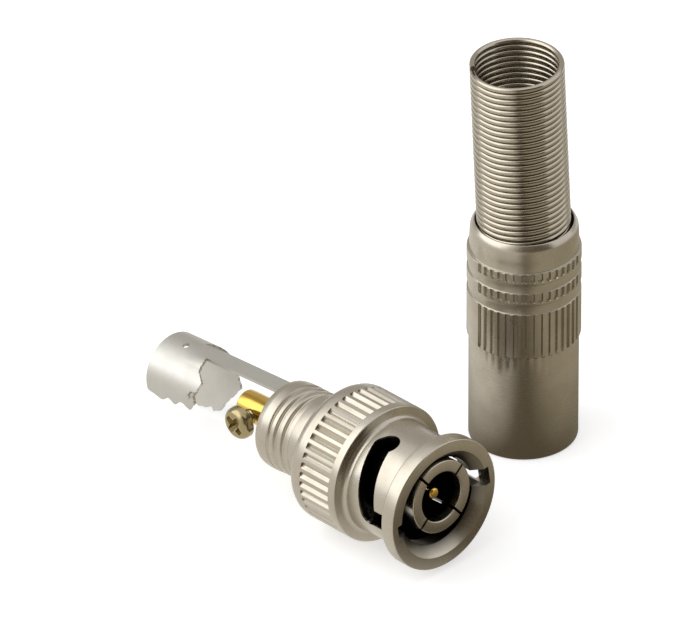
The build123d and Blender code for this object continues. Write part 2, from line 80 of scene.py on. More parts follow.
def size(millimetres, name, about):
    """A length that the user can change, given in millimetres and kept in metres."""
    return FloatProperty(name=name, description=about, default=millimetres * MM, unit="LENGTH", precision=5)


def angle(degrees, name, about):
    """An angle that the user can change, given in degrees and kept in radians."""
    return FloatProperty(name=name, description=about, default=math.radians(degrees), subtype="ANGLE")


def share(value, name, about):
    """A number from 0 to 1 that the user can change."""
    return FloatProperty(name=name, description=about, default=value, min=0, max=1, subtype="FACTOR")


def colour(red, green, blue, name, about):
    """A colour that the user can change."""
    return FloatVectorProperty(name=name, description=about, default=(red, green, blue), size=3, min=0, max=1,
                               subtype="COLOR")


# Sizes

class RingSizes(bpy.types.PropertyGroup):
    """Coupling ring with its flange and knurled grip."""
    bore_r: size(4.98, "Bore radius", "Inside of the barrel")
    mouth_chamfer: size(1.05, "Mouth chamfer", "Funnel at the mouth")
    relief_front: size(2.60, "Relief front", "Station where the bore grows wider")
    relief_depth: size(0.47, "Relief depth", "How much wider it grows on each side")
    flange_r: size(7.36, "Flange radius", "Rim at the mouth")
    flange_width: size(1.75, "Flange width", "Thickness of the rim at the mouth")
    barrel_r: size(6.20, "Barrel radius", "Outside of the slotted barrel")
    grip_front: size(8.55, "Grip front", "Station where the grip begins")
    grip_rear: size(15.80, "Grip rear", "Station where the ring ends")
    grip_r: size(7.65, "Grip radius", "Outside of the grip")
    grip_shoulder: size(1.20, "Grip shoulder", "Rounding of the grip's rear edge")
    barrel_fillet: size(0.55, "Barrel fillet", "Rounding between barrel and grip")
    edge: size(0.15, "Edge", "Rounding of the turned edges")
    knurl_front: size(9.50, "Knurl front", "Station where the flutes begin")
    knurl_length: size(4.30, "Knurl length", "Length of the flutes")
    knurl_depth: size(0.30, "Knurl depth", "Depth of a flute")
    knurl_count: IntProperty(name="Flutes", description="Flutes round the grip", default=44)
    knurl_width: size(0.73, "Knurl width", "Width of a flute at the surface")
    chamber_r: size(6.30, "Chamber radius", "Room for the washers")
    chamber_front: size(9.60, "Chamber front", "Station where the washers' room begins")
    lip_r: size(5.05, "Lip radius", "Hole in the ring's rear lip")
    lip_width: size(0.80, "Lip width", "Thickness of the rear lip")
    lip_middle: size(15.40, "Lip middle", "Station about which the loose ring droops")


class SlotSizes(bpy.types.PropertyGroup):
    """Bayonet slots of the coupling ring, one each side."""
    width: size(2.30, "Slot width", "Width of the helical run")
    entry_width: size(2.10, "Entry width", "Width of the way in from the mouth")
    entry_turn: angle(187, "Entry turn", "Where the first way in lies round the ring")
    entry_r: size(6.55, "Entry radius", "Depth of the way in, measured from the axis")
    start: size(4.97, "Start", "Station where the run begins")
    end: size(6.35, "End", "Station where the run ends")
    sweep: angle(72, "Sweep", "How far the run goes round")
    detent_turn: angle(78, "Detent turn", "Where the lug rests, past the way in")
    detent_station: size(5.90, "Detent station", "Where the lug rests, behind the mouth")


class SleeveSizes(bpy.types.PropertyGroup):
    """Outer contact, the split sleeve in the mouth."""
    front: size(0.30, "Front", "Station of the sleeve's front face")
    rear: size(11.00, "Rear", "Station of the sleeve's hidden end")
    outside_r: size(4.05, "Outer radius", "Outside of the sleeve")
    bore_r: size(2.75, "Bore radius", "Inside of the sleeve")
    slit_width: size(0.30, "Slit width", "Width of the four slits")
    slit_length: size(7.20, "Slit length", "Length of the four slits")
    slit_turn: angle(38.5, "Slit turn", "Where the first slit lies")
    edge: size(0.15, "Edge", "Rounding of the front edges")


class BodySizes(bpy.types.PropertyGroup):
    """Plug body with its hub, rear thread and collar."""
    nose_front: size(9.30, "Nose front", "Station of the body's front face")
    nose_r: size(4.55, "Nose radius", "Outside of the nose")
    seat_r: size(4.07, "Seat radius", "Seat of the outer contact")
    seat_rear: size(11.02, "Seat rear", "Station where that seat ends")
    bore_r: size(2.80, "Bore radius", "Hole for the insulators")
    groove_front: size(12.29, "Groove front", "Front of the groove for the retaining ring")
    groove_rear: size(13.49, "Groove rear", "Rear of the groove for the retaining ring")
    groove_r: size(4.10, "Groove radius", "Floor of that groove")
    shoulder: size(15.18, "Shoulder", "Station of the step up to the hub")
    hub_r: size(4.95, "Hub radius", "Plain band behind the ring")
    thread_front: size(18.40, "Thread front", "Station where the thread begins")
    thread_r: size(4.85, "Thread radius", "Crest of the thread")
    thread_depth: size(0.34, "Thread depth", "Depth of the thread")
    thread_pitch: size(1.17, "Thread pitch", "Pitch of the thread")
    thread_turns: IntProperty(name="Thread turns", description="Turns of the thread", default=3)
    collar_r: size(4.88, "Collar radius", "Rounded collar at the rear")
    collar_width: size(1.85, "Collar width", "Width of the collar")
    collar_taper: size(0.80, "Collar taper", "Length of its narrowing rear")
    collar_narrowing: size(0.10, "Collar narrowing", "How much its rear narrows")
    cup_r: size(4.48, "Cup radius", "Hollow in the rear of the collar")
    cup_depth: size(2.10, "Cup depth", "Depth of that hollow")
    edge: size(0.15, "Edge", "Rounding of the turned edges")


class ContactSizes(bpy.types.PropertyGroup):
    """Centre contact, a pin in front and a post for the cable's core behind, with its terminal screw."""
    pin_front: size(1.30, "Pin front", "Station of the pin's tip")
    pin_r: size(0.67, "Pin radius", "Radius of the pin")
    pin_tip: size(0.35, "Pin tip", "Rounding of the tip")
    insulator_front: size(6.50, "Insulator front", "Station where the pin enters the insulator")
    neck_r: size(0.95, "Neck radius", "Contact inside the front insulator")
    shank_front: size(14.20, "Shank front", "Station where the shank begins")
    shank_r: size(1.20, "Shank radius", "Contact inside the insulators")
    flange_front: size(17.00, "Flange front", "Station of the flange between the insulators")
    flange_r: size(2.10, "Flange radius", "Radius of that flange")
    flange_width: size(0.80, "Flange width", "Thickness of that flange")
    post_front: size(23.80, "Post front", "Station where the post begins")
    post_rear: size(30.10, "Post rear", "Station where the post ends")
    post_r: size(1.62, "Post radius", "Radius of the post")
    wire_hole_r: size(0.75, "Wire hole radius", "Hole for the cable's core")
    wire_hole_depth: size(7.00, "Wire hole depth", "Depth of that hole")
    screw_station: size(27.90, "Screw station", "Where the terminal screw stands")
    screw_turn: angle(182, "Screw turn", "Which way the terminal screw points")
    screw_r: size(0.75, "Screw radius", "Radius of its shank")
    screw_lift: size(1.05, "Screw lift", "How far its head stands off the post")
    screw_length: size(1.88, "Screw length", "Length of its shank")
    screw_pitch: size(0.35, "Screw pitch", "Pitch of its thread")
    head_r: size(1.80, "Head radius", "Radius of its head")
    head_height: size(1.25, "Head height", "Height of its head")
    head_dome: size(0.75, "Head dome", "Rounding of its head")
    recess_arm: size(0.60, "Recess arm", "Width of the cross's arms")
    recess_span: size(2.35, "Recess span", "Span of the cross")
    recess_depth: size(0.75, "Recess depth", "Depth of the cross")


class ClampSizes(bpy.types.PropertyGroup):
    """Cable clamp: a washer, a strap and a claw with torn edges, folded from one sheet."""
    sheet: size(0.34, "Sheet", "Thickness of the sheet")
    base_r: size(4.42, "Base radius", "Outside of the washer in the collar")
    base_hole_r: size(2.62, "Base hole radius", "Hole of that washer")
    pivot: size(22.02, "Pivot", "Station of the washer's rear face")
    strap_top: size(4.38, "Strap top", "Height of the strap above the axis")
    strap_width: size(2.15, "Strap width", "Width of the strap")
    sag: angle(0.6, "Sag", "How far the strap droops")
    claw_front: size(33.40, "Claw front", "Station where the claw begins")
    claw_length: size(8.00, "Claw length", "Length of the claw")
    claw_r: size(4.00, "Claw radius", "Outside of the claw")
    leg_turn: angle(16, "Leg turn", "How far below level the far half runs straight on")
    piercing_r: size(0.38, "Piercing radius", "Hole pierced in the claw")
    piercing_behind: size(5.10, "Piercing place", "How far it lies behind the claw's front")
    piercing_side: size(-0.55, "Piercing side", "How far it lies to one side")


class ShellSizes(bpy.types.PropertyGroup):
    """Back shell, a tube with three knurled bands, an inner thread and a rounded crown."""
    outside_r: size(5.81, "Outer radius", "Plain part of the tube")
    bore_r: size(5.36, "Bore radius", "Inside of the tube")
    thread_r: size(5.02, "Thread radius", "Crest of the thread at the foot")
    thread_length: size(6.00, "Thread length", "Length of the thread")
    thread_runout: size(0.40, "Thread runout", "Slope behind the thread")
    thread_pitch: size(1.17, "Thread pitch", "Pitch of the thread")
    foot_round: size(0.25, "Foot rounding", "Rounding of the foot's outer edge")
    height: size(26.55, "Height", "Height of the shell")
    hole_r: size(5.18, "Hole radius", "Hole in the crown")
    crown_wall: size(0.95, "Crown wall", "Thickness of the crown")
    crown_round: size(1.90, "Crown rounding", "Height of the rounded shoulder")
    shoulder_drop: size(0.55, "Shoulder drop", "How far below the rim the shoulder turns in")
    shoulder_narrowing: size(0.07, "Shoulder narrowing", "How much narrower it is there than the neck")
    shoulder_round: size(1.15, "Shoulder rounding", "Rounding of the shoulder")
    neck_r: size(5.76, "Neck radius", "Plain neck above the bands")
    band_r: size(6.03, "Band radius", "Crest of the knurled bands")
    low_bottom: size(12.71, "Low band bottom", "Height where the tall band begins")
    low_top: size(18.33, "Low band top", "Height where the tall band ends")
    middle_bottom: size(19.38, "Middle band bottom", "Height where the middle band begins")
    middle_top: size(20.93, "Middle band top", "Height where the middle band ends")
    top_bottom: size(21.92, "Top band bottom", "Height where the top band begins")
    top_top: size(23.34, "Top band top", "Height where the top band ends")
    knurl_count: IntProperty(name="Grooves", description="Grooves in a full turn", default=43)
    knurl_depth: size(0.24, "Knurl depth", "Depth of a groove")
    knurl_width: size(0.42, "Knurl width", "Width of a groove")
    knurl_rim: size(0.45, "Knurl rim", "Smooth rim below the narrow bands")
    knurl_sector: angle(62, "Knurl sector", "How far the knurl reaches each way, on both sides")
    knurl_turn: angle(-35.6, "Knurl turn", "Where the middle groove lies")


class SpringSizes(bpy.types.PropertyGroup):
    """Strain relief spring, close wound, leaning in the shell's crown."""
    wire_r: size(0.32, "Wire radius", "Radius of the wire")
    coil_r: size(4.97, "Coil radius", "Outside of the coil")
    pitch: size(0.675, "Pitch", "Rise of one turn")
    turns: FloatProperty(name="Turns", description="Turns of the coil", default=31)
    base: size(24.85, "Base", "Height of the lowest turn's centre above the foot")
    lean: angle(2.35, "Lean", "How far the spring leans to the left of the view")
    flare_r: size(5.30, "Flare radius", "Wide turn caught under the crown")
    flare_lift: size(0.10, "Flare lift", "Height of that turn above the spring's base")


class WasherSizes(bpy.types.PropertyGroup):
    """Two wave washers, which flatten against the slip washer when the ring goes forward; they are drawn at rest.
    """
    front: size(13.24, "Front washer", "Station of the front washer")
    rear: size(13.91, "Rear washer", "Station of the rear washer")
    stop: size(14.58, "Stop", "Station of the slip washer's face")
    outside_r: size(6.00, "Outer radius", "Outside of the washers")
    bore_r: size(4.95, "Bore radius", "Hole of the washers")
    rise: size(0.42, "Rise", "How far a washer's edge bends off flat")
    sheet: size(0.20, "Sheet", "Thickness of a washer")
    flattened: share(0.36, "Flattened", "What is left of their height when the ring is at its limit")


class Finishes(bpy.types.PropertyGroup):
    """Colours and roughness of the finishes."""
    nickel: colour(0.53, 0.49, 0.42, "Nickel", "Satin nickel plate")
    nickel_dull: colour(0.42, 0.38, 0.31, "Dull nickel", "The same where it has gone dull")
    bright: colour(0.48, 0.435, 0.36, "Bright steel", "Spring wire")
    sheet: colour(0.60, 0.585, 0.545, "Sheet", "Bright plated sheet of the clamp")
    gold: colour(0.80, 0.54, 0.12, "Gold", "Gold flash of the contact")
    screw: colour(0.42, 0.35, 0.19, "Screw", "Yellow passivated screw")
    spring_steel: colour(0.34, 0.33, 0.31, "Spring steel", "Hidden washers")
    insulator: colour(0.86, 0.85, 0.80, "Insulator", "White plastic")
    gasket: colour(0.05, 0.05, 0.05, "Gasket", "Black rubber")
    satin: share(0.27, "Satin", "Roughness of the nickel")
    polished: share(0.16, "Polished", "Roughness of wire, gold and screw")
    sheet_satin: share(0.40, "Sheet satin", "Roughness of the sheet")


class StageSizes(bpy.types.PropertyGroup):
    """Camera, floor, surroundings and lamp."""
    view_turn: angle(46.8, "View turn", "Direction of the view round the object")
    elevation: angle(33.24, "Elevation", "How far the camera looks down")
    roll: angle(-0.166, "Roll", "Roll of the camera")
    distance: size(1491, "Distance", "From the camera to the shell's foot")
    aim_left: size(18.543, "Aim left", "How far left of the foot the view is centred")
    aim_up: size(11.494, "Aim up", "How far above the foot the view is centred")
    focal_pixels: FloatProperty(name="Focal length", description="In pixels of the photograph", default=14134)
    floor: share(0.80, "Floor", "Grey of the floor")
    world: share(0.75, "Surroundings", "Brightness of the white surroundings")
    key_power: FloatProperty(name="Key lamp", description="Power of the big soft lamp", default=8, unit="POWER")


# Shapes

def unit(direction):
    """The same direction, with a length of one."""
    return direction / np.linalg.norm(direction)


class Place:
    """Where a piece is drawn: an origin and three directions in the frame."""

    def __init__(self, origin, along, side, up):
        self.origin, self.along, self.side, self.up = (np.array(v, float) for v in (origin, along, side, up))

    def lay(self, along, side, up):
        """The points that lie these distances along, to the side and up from the origin."""
        along, side, up = np.broadcast_arrays(along, side, up)
        return (self.origin + along[..., None] * self.along + side[..., None] * self.side
                + up[..., None] * self.up)

    def pitched(self, pivot_along, pivot_up, pitch):
        """The same place, with its along direction tipped down by pitch about a line to its side."""
        pivot = self.lay(pivot_along, 0, pivot_up)
        along = math.cos(pitch) * self.along - math.sin(pitch) * self.up
        up = math.sin(pitch) * self.along + math.cos(pitch) * self.up
        return Place(pivot - pivot_along * along - pivot_up * up, along, self.side, up)


def plug_place(mouth_from, axis):
    """Stations run back from the mouth, the side is the frame's +Y, and up stands square on both."""
    forward = unit(np.array(axis))
    side = np.array((0.0, 1.0, 0.0))
    return Place(mouth_from, -forward, side, np.cross(forward, side))


def body_place():
    """The body's mouth lies ahead of the middle of the bare pin, along the pin."""
    mount, sizes = MOUNTS["centre_pin"], bpy.context.scene.plug_contact
    middle = (sizes.pin_front + sizes.pin_tip + sizes.insulator_front) / 2
    return plug_place(np.array(mount["pos_m"]) + middle * np.array(mount["axis"]), mount["axis"])


def ring_place():
    """The ring's mouth lies ahead of the lip about which it droops, along the joint that turns it."""
    joint, sizes = JOINTS["ring_turn"], bpy.context.scene.plug_ring
    return plug_place(np.array(joint["pos_m"]) + sizes.lip_middle * np.array(joint["axis"]), joint["axis"])


def shell_foot():
    """Middle of the shell's foot, on the floor."""
    low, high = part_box("back_shell")
    return np.array(((low.x + high.x) / 2, (low.y + high.y) / 2, 0.0))


def level(turn):
    """Two level directions: the frame's +X turned about +Z, and the one a quarter turn further on."""
    return np.array((math.cos(turn), math.sin(turn), 0)), np.array((-math.sin(turn), math.cos(turn), 0))


def shell_place():
    """Stations run up from the foot, and turns from the middle groove of the knurl."""
    return Place(shell_foot(), UP, *level(bpy.context.scene.plug_shell.knurl_turn))


def spring_place():
    """Stations run up the spring, which leans to the left of the view."""
    sizes = bpy.context.scene.plug_spring
    right, away = level(bpy.context.scene.plug_stage.view_turn)
    along = math.cos(sizes.lean) * UP - math.sin(sizes.lean) * right
    return Place(shell_foot() + sizes.base * UP, along, away, np.cross(along, away))


def rounded(corners, longest=1.0, arc_steps=5):
    """Outline with rounded corners, from rows of station, radius and rounding.

    A rounded corner becomes the arc of that radius which touches both its sides. Its middle lies on the
    corner's bisector, radius / sin(half the corner's angle) away. A share t along the arc lies at the sum of
    its ends, weighted by sin((1 - t) * arc) / sin(arc) and sin(t * arc) / sin(arc). Stretches longer than
    longest are divided evenly.
    """
    points = np.array([row[:2] for row in corners], float)
    roundings = [row[2] if len(row) > 2 else 0 for row in corners]
    outline = []
    for i, rounding in enumerate(roundings):
        corner = points[i]
        if not rounding:
            outline.append(corner[None])
            continue
        before, after = unit(points[i - 1] - corner), unit(points[(i + 1) % len(points)] - corner)
        half = math.acos(np.clip(before @ after, -1, 1)) / 2
        middle = corner + unit(before + after) * rounding / math.sin(half)
        start = corner + before * rounding / math.tan(half) - middle
        finish = corner + after * rounding / math.tan(half) - middle
        t = np.linspace(0, 1, arc_steps + 1)[:, None]
        arc = math.pi - 2 * half
        outline.append(middle + (np.sin((1 - t) * arc) * start + np.sin(t * arc) * finish) / math.sin(arc))
    return spaced(np.concatenate(outline), lambda here, there: evenly(here, there, longest))


def spaced(outline, shares):
    """The same outline with new points: shares(here, there) says how far along each stretch they lie."""
    return np.concatenate([here + (there - here) * np.array(shares(here, there))[:, None]
                           for here, there in zip(outline, np.roll(outline, -1, axis=0))])


def evenly(here, there, longest):
    """Shares that divide a stretch into equal steps of at most longest."""
    steps = max(1, math.ceil(np.linalg.norm(there - here) / longest - 1e-6))
    return np.arange(steps) / steps


def divided(outline, first, last, step, widest=math.inf):
    """The same outline, divided to at most step where it lies between two stations and within a radius."""
    def shares(here, there):
        inside = (first - step < min(here[0], there[0]) and max(here[0], there[0]) < last + step
                  and max(here[1], there[1]) < widest)
        return evenly(here, there, step if inside else math.inf)

    return spaced(outline, shares)


def crossed(outline, stations):
    """The same outline, with one more point wherever a stretch of it crosses one of the stations."""
    def shares(here, there):
        run = there[0] - here[0]
        return [0.0] + sorted((station - here[0]) / run for station in stations
                              if 0 < (station - here[0]) * run < run * run)

    return spaced(outline, shares)


def turned(place, outline, columns, reshape=None):
    """A turned form: each point of the outline goes round the axis, (station, r cos turn, r sin turn).

    reshape takes the grids of station, radius and turn, and gives back those of station and radius.
    """
    turn = np.linspace(0, 2 * math.pi, columns, endpoint=False)[None]
    station, radius = outline[:, :1] + 0 * turn, outline[:, 1:] + 0 * turn
    if reshape:
        station, radius = reshape(station, radius, turn + 0 * station)
    return place.lay(station, radius * np.cos(turn), radius * np.sin(turn))


def skin(grid, closed_rows=True, closed_columns=True):
    """Vertices and four-cornered faces of a grid of points; a closed way joins its last points to its first."""
    rows, columns = grid.shape[:2]
    i = np.arange(rows if closed_rows else rows - 1)[:, None]
    j = np.arange(columns if closed_columns else columns - 1)[None]
    below, right = (i + 1) % rows, (j + 1) % columns
    faces = np.stack([i * columns + j, i * columns + right, below * columns + right, below * columns + j], -1)
    return grid.reshape(-1, 3), faces.reshape(-1, 4)


def steps_between(value, low, high, soft):
    """1 between low and high, falling to 0 over a distance of soft outside them, along straight slopes."""
    return np.clip(np.minimum(value - low, high - value) / soft + 1, 0, 1)


def saw(turn, count):
    """Distance from the nearest of count evenly spaced lines round the axis, as a share of their spacing."""
    return np.abs((turn * count / (2 * math.pi) + 0.5) % 1 - 0.5)


def smooth(value):
    """A soft step: t * t * (3 - 2 * t), where t is the value held between 0 and 1."""
    t = np.clip(value, 0, 1)
    return t * t * (3 - 2 * t)


def helix_wave(station, turn, front, pitch, floor_share, groove_share):
    """Depth of a thread's groove, from 0 to 1, about a line that moves one pitch each turn.

    The groove and its floor are as wide as these shares of the pitch, with a soft step between their edges.
    """
    turns = (station - front) / pitch - turn / (2 * math.pi)
    off = np.abs(turns - np.round(turns))
    return smooth((groove_share / 2 - off) / (groove_share / 2 - floor_share / 2))


def make_object(name, skins, sharp=SHARP):
    """An object from skins that are welded where they meet, with its faces pointing outwards."""
    starts = np.cumsum([0] + [len(vertices) for vertices, _ in skins[:-1]])
    vertices = np.concatenate([vertices for vertices, _ in skins])
    faces = np.concatenate([faces + start for (_, faces), start in zip(skins, starts)])
    mesh = bpy.data.meshes.new(name)
    mesh.vertices.add(len(vertices))
    mesh.vertices.foreach_set("co", vertices.ravel())
    mesh.loops.add(faces.size)
    mesh.loops.foreach_set("vertex_index", faces.ravel())
    mesh.polygons.add(len(faces))
    mesh.polygons.foreach_set("loop_start", np.arange(0, faces.size, faces.shape[1]))
    mesh.update(calc_edges=True)
    tidy = bmesh.new()
    tidy.from_mesh(mesh)
    bmesh.ops.remove_doubles(tidy, verts=tidy.verts, dist=WELD)
    bmesh.ops.recalc_face_normals(tidy, faces=tidy.faces)
    tidy.to_mesh(mesh)
    tidy.free()
    piece = bpy.data.objects.new(name, mesh)
    bpy.context.scene.collection.objects.link(piece)
    shade(piece, sharp)
    return piece


def shade(piece, sharp=SHARP):
    """Smooth shading that breaks where faces meet at more than the sharp angle."""
    piece.data.shade_smooth()
    piece.data.set_sharp_from_angle(angle=sharp)


def apply_modifiers(piece):
    """Keeps what the piece's modifiers make as its own mesh."""
    bpy.context.view_layer.update()
    done = bpy.data.meshes.new_from_object(piece.evaluated_get(bpy.context.evaluated_depsgraph_get()))
    old = piece.data
    piece.modifiers.clear()
    piece.data = done
    bpy.data.meshes.remove(old)


def combine(piece, tool, operation):
    """Cuts the tool's volume out of the piece, or adds it, and takes the tool away."""
    join = piece.modifiers.new("combine", "BOOLEAN")
    join.operation, join.solver, join.object = operation, "EXACT", tool
    apply_modifiers(piece)
    bpy.data.objects.remove(tool)
    shade(piece)


def cut(piece, *skins):
    """Cuts what closed skins enclose out of the piece."""
    combine(piece, make_object("cutter", skins), "DIFFERENCE")


def pin(place, radius, length, columns):
    """A closed cylinder that runs from the place's origin along its axis."""
    outline = np.array([(0, 0), (0, radius), (length, radius), (length, 0)])
    return skin(turned(place, outline, columns), closed_rows=False)


def block(place, sizes, centre, turn=0.0):
    """A closed box: sizes and centre are (along, side, up) before it is turned about the place's axis."""
    corner = np.array([(-1, -1), (1, -1), (1, 1), (-1, 1)]) / 2
    side, up = corner[:, 0] * sizes[1] + centre[1], corner[:, 1] * sizes[2] + centre[2]
    along = np.array([-0.5, -0.5, 0.5, 0.5]) * sizes[0] + centre[0]
    side = np.stack([side.mean() + 0 * side, side, side, side.mean() + 0 * side])
    up = np.stack([up.mean() + 0 * up, up, up, up.mean() + 0 * up])
    grid = place.lay(along[:, None], side * math.cos(turn) - up * math.sin(turn),
                     side * math.sin(turn) + up * math.cos(turn))
    return skin(grid, closed_rows=False)


def finish_piece(piece, material, body, slot, *nodes):
    """Gives the piece its finish and the body it moves with, and hides the solids that it stands for."""
    piece.data.materials.clear()
    piece.data.materials.append(material)
    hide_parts(*nodes)
    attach(piece, body)


def slot_way(place, start, end, width, inside_r, outside_r, steps=14):
    """A way through the ring's wall, as wide as a disc that rolls from start to end, both (station, turn).

    Its outline is two half circles joined by straight sides. A point of it stands where a radial line at the
    disc's turn, moved sideways by its offset, meets the inner and outer radius.
    """
    scale = (inside_r + outside_r) / 2
    run = np.array((end[0] - start[0], (end[1] - start[1]) * scale))
    heading = math.atan2(run[1], run[0])
    half = np.linspace(-math.pi / 2, math.pi / 2, steps)
    sweep = np.concatenate([half + heading + math.pi, half + heading])
    at_end = np.repeat([0, 1], steps)
    circles = np.stack([start[0] + at_end * (end[0] - start[0]) + width / 2 * np.cos(sweep),
                        start[1] + at_end * (end[1] - start[1]), width / 2 * np.sin(sweep)])
    between = np.linspace(0, 1, steps)[1:-1]
    sides = [circles[:, i, None] + (circles[:, j, None] - circles[:, i, None]) * between
             for i, j in ((steps - 1, steps), (2 * steps - 1, 0))]
    outline = np.concatenate([circles[:, :steps], sides[0], circles[:, steps:], sides[1]], axis=1)
    middle = outline.mean(axis=1, keepdims=True) + 0 * outline

    def wall(points, radius):
        station, turn, offset = points
        return place.lay(station, radius * np.cos(turn) - offset * np.sin(turn),
                         radius * np.sin(turn) + offset * np.cos(turn))

    rows = ((middle, inside_r), (outline, inside_r), (outline, outside_r), (middle, outside_r))
    return skin(np.stack([wall(*row) for row in rows]), closed_rows=False)


# Finishes

class Wire:
    """A socket in an expression: arithmetic on it adds the Math nodes that work it out."""

    def __init__(self, paint, socket):
        self.paint, self.socket = paint, socket

    def math(self, operation, *values, clamp=False):
        settings = {"operation": operation, "use_clamp": clamp}
        return self.paint.node("ShaderNodeMath", settings, dict(enumerate(values)))

    def __add__(self, other):
        return self.math("ADD", self, other)

    __radd__ = __add__

    def __sub__(self, other):
        return self.math("SUBTRACT", self, other)

    def __rsub__(self, other):
        return self.math("SUBTRACT", other, self)

    def __mul__(self, other):
        return self.math("MULTIPLY", self, other)

    __rmul__ = __mul__

    def at_most(self, other):
        return self.math("MINIMUM", self, other)

    def at_least(self, other):
        return self.math("MAXIMUM", self, other)

    def between(self, low, high):
        """0 below low, 1 above high and a straight slope between them."""
        return self.math("MULTIPLY_ADD", self, 1 / (high - low), -low / (high - low), clamp=True)


class Paint:
    """The node tree of a material or a world, and the ways to add nodes to it."""

    def __init__(self, owner):
        owner.use_nodes = True
        self.tree = owner.node_tree
        self.tree.nodes.clear()

    def node(self, kind, settings=None, inputs=None, output=None):
        """Adds a node: its settings first, then a value or a wire for each input. Gives one of its outputs."""
        made = self.tree.nodes.new(kind)
        for name, value in (settings or {}).items():
            setattr(made, name, value)
        for name, value in (inputs or {}).items():
            if isinstance(value, Wire):
                self.tree.links.new(value.socket, made.inputs[name])
            else:
                made.inputs[name].default_value = value
        if not any(socket.enabled for socket in made.outputs):
            return made
        found = made.outputs[output] if output else next(s for s in made.outputs if s.enabled)
        return Wire(self, found)

    def vector(self, operation, *values, output=None):
        return self.node("ShaderNodeVectorMath", {"operation": operation}, dict(enumerate(values)), output)

    def mix(self, factor, first, second):
        """A colour between two colours."""
        made = {0: factor, 6: first, 7: second}
        return self.node("ShaderNodeMix", {"data_type": "RGBA"}, made)

    def noise(self, scale, detail, vector=None, along=None):
        """Noise from 0 to 1 over a vector or along one number, with about scale lumps in a unit of it."""
        inputs = {"Scale": scale, "Detail": detail}
        if along is not None:
            inputs["W"] = along
            return self.node("ShaderNodeTexNoise", {"noise_dimensions": "1D"}, inputs, "Fac")
        inputs["Vector"] = vector
        return self.node("ShaderNodeTexNoise", {"noise_dimensions": "3D"}, inputs, "Fac")

    def bump(self, strength, height):
        """A bumpy surface, at most a twentieth of a millimetre high."""
        return self.node("ShaderNodeBump", inputs={
            "Strength": strength, "Distance": 0.05 * MM, "Height": height})

    def ends_in(self, shader):
        self.node("ShaderNodeOutputMaterial", inputs={"Surface": shader})


def rgba(value):
    """A colour with its alpha."""
    return (*value, 1.0)


def dimmed(value, kept):
    """A colour of which this share is kept."""
    return tuple(kept * part for part in value)


def coordinates(paint, place):
    """Object coordinates in millimetres about a place: the offset, the distance along and out from its axis."""
    position = paint.node("ShaderNodeTexCoord", output="Object")
    offset = paint.vector("SUBTRACT", position, tuple(place.origin))
    offset = paint.node("ShaderNodeVectorMath", {"operation": "SCALE"}, {0: offset, "Scale": 1 / MM})
    along = paint.vector("DOT_PRODUCT", offset, tuple(place.along), output="Value")
    shadow = paint.node("ShaderNodeVectorMath", {"operation": "SCALE"}, {0: tuple(place.along), "Scale": along})
    out = paint.vector("LENGTH", paint.vector("SUBTRACT", offset, shadow), output="Value")
    return offset, along, out


def plated_metal(name, place, fresh, dull, roughness, marks=0.05, grain=0.25, handling=0.35, inside=None):
    """Plated metal: turning marks that follow the axis, a fine satin grain and dull patches from handling.

    marks is how deep the turning marks are, grain the satin's share of that, and handling the patches' tone.
    inside gives the radius, the front and the rear of a hollow that light hardly reaches, where the colour is
    painted almost black as painted shade.
    """
    material = bpy.data.materials.new(name)
    paint = Paint(material)
    offset, along, out = coordinates(paint, place)
    # Turning marks run round the axis, so they change only along it and out from it
    lines = paint.noise(5.5, 3.0, along=along * 0.83 + out * 1.31)
    fine = paint.noise(26.0, 2.0, along=along * 1.21 + out * 0.87)
    satin = paint.noise(9.0, 3.0, offset)
    patches = paint.noise(0.33, 4.0, offset).between(0.38, 0.70)
    uneven = paint.noise(1.6, 3.0, offset).between(0.35, 0.75)
    tone = (patches * handling + uneven * 0.2 + lines * 0.18).at_most(1.0)
    base = paint.mix(tone, rgba(fresh), rgba(dull))
    if inside:
        radius, front, rear = (value / MM for value in inside)
        # Painted shade: millimetres over which it sets in, from the wall, the front and the rear
        from_wall, from_front, from_rear = 0.1, 1.1, 0.3
        hidden = (out.between(radius, radius - from_wall) * along.between(front, front + from_front)
                  * along.between(rear, rear - from_rear))
        # Painted shade: the hollow's colour is mixed towards almost black
        base = paint.mix(hidden, base, rgba(dimmed(dull, 0.07)))
    rough = (patches * 0.09 + satin * 0.07 + lines * 0.08 + (roughness - 0.09)).at_least(0.06)
    height = lines * marks + fine * (marks * 0.6) + satin * (marks * grain)
    paint.ends_in(paint.node("ShaderNodeBsdfPrincipled", inputs={
        "Base Color": base, "Metallic": 1.0, "Roughness": rough, "Normal": paint.bump(0.35, height)}))
    return material


def moulded(name, place, base, roughness):
    """Plastic or rubber, a little darker in patches and faintly uneven."""
    material = bpy.data.materials.new(name)
    paint = Paint(material)
    offset = coordinates(paint, place)[0]
    cloud = paint.noise(1.1, 4.0, offset)
    paint.ends_in(paint.node("ShaderNodeBsdfPrincipled", inputs={
        "Base Color": paint.mix(cloud, rgba(base), rgba(dimmed(base, 0.82))),
        "Roughness": cloud * 0.15 + roughness, "Normal": paint.bump(0.3, paint.noise(7.0, 3.0, offset))}))
    return material


# Operators

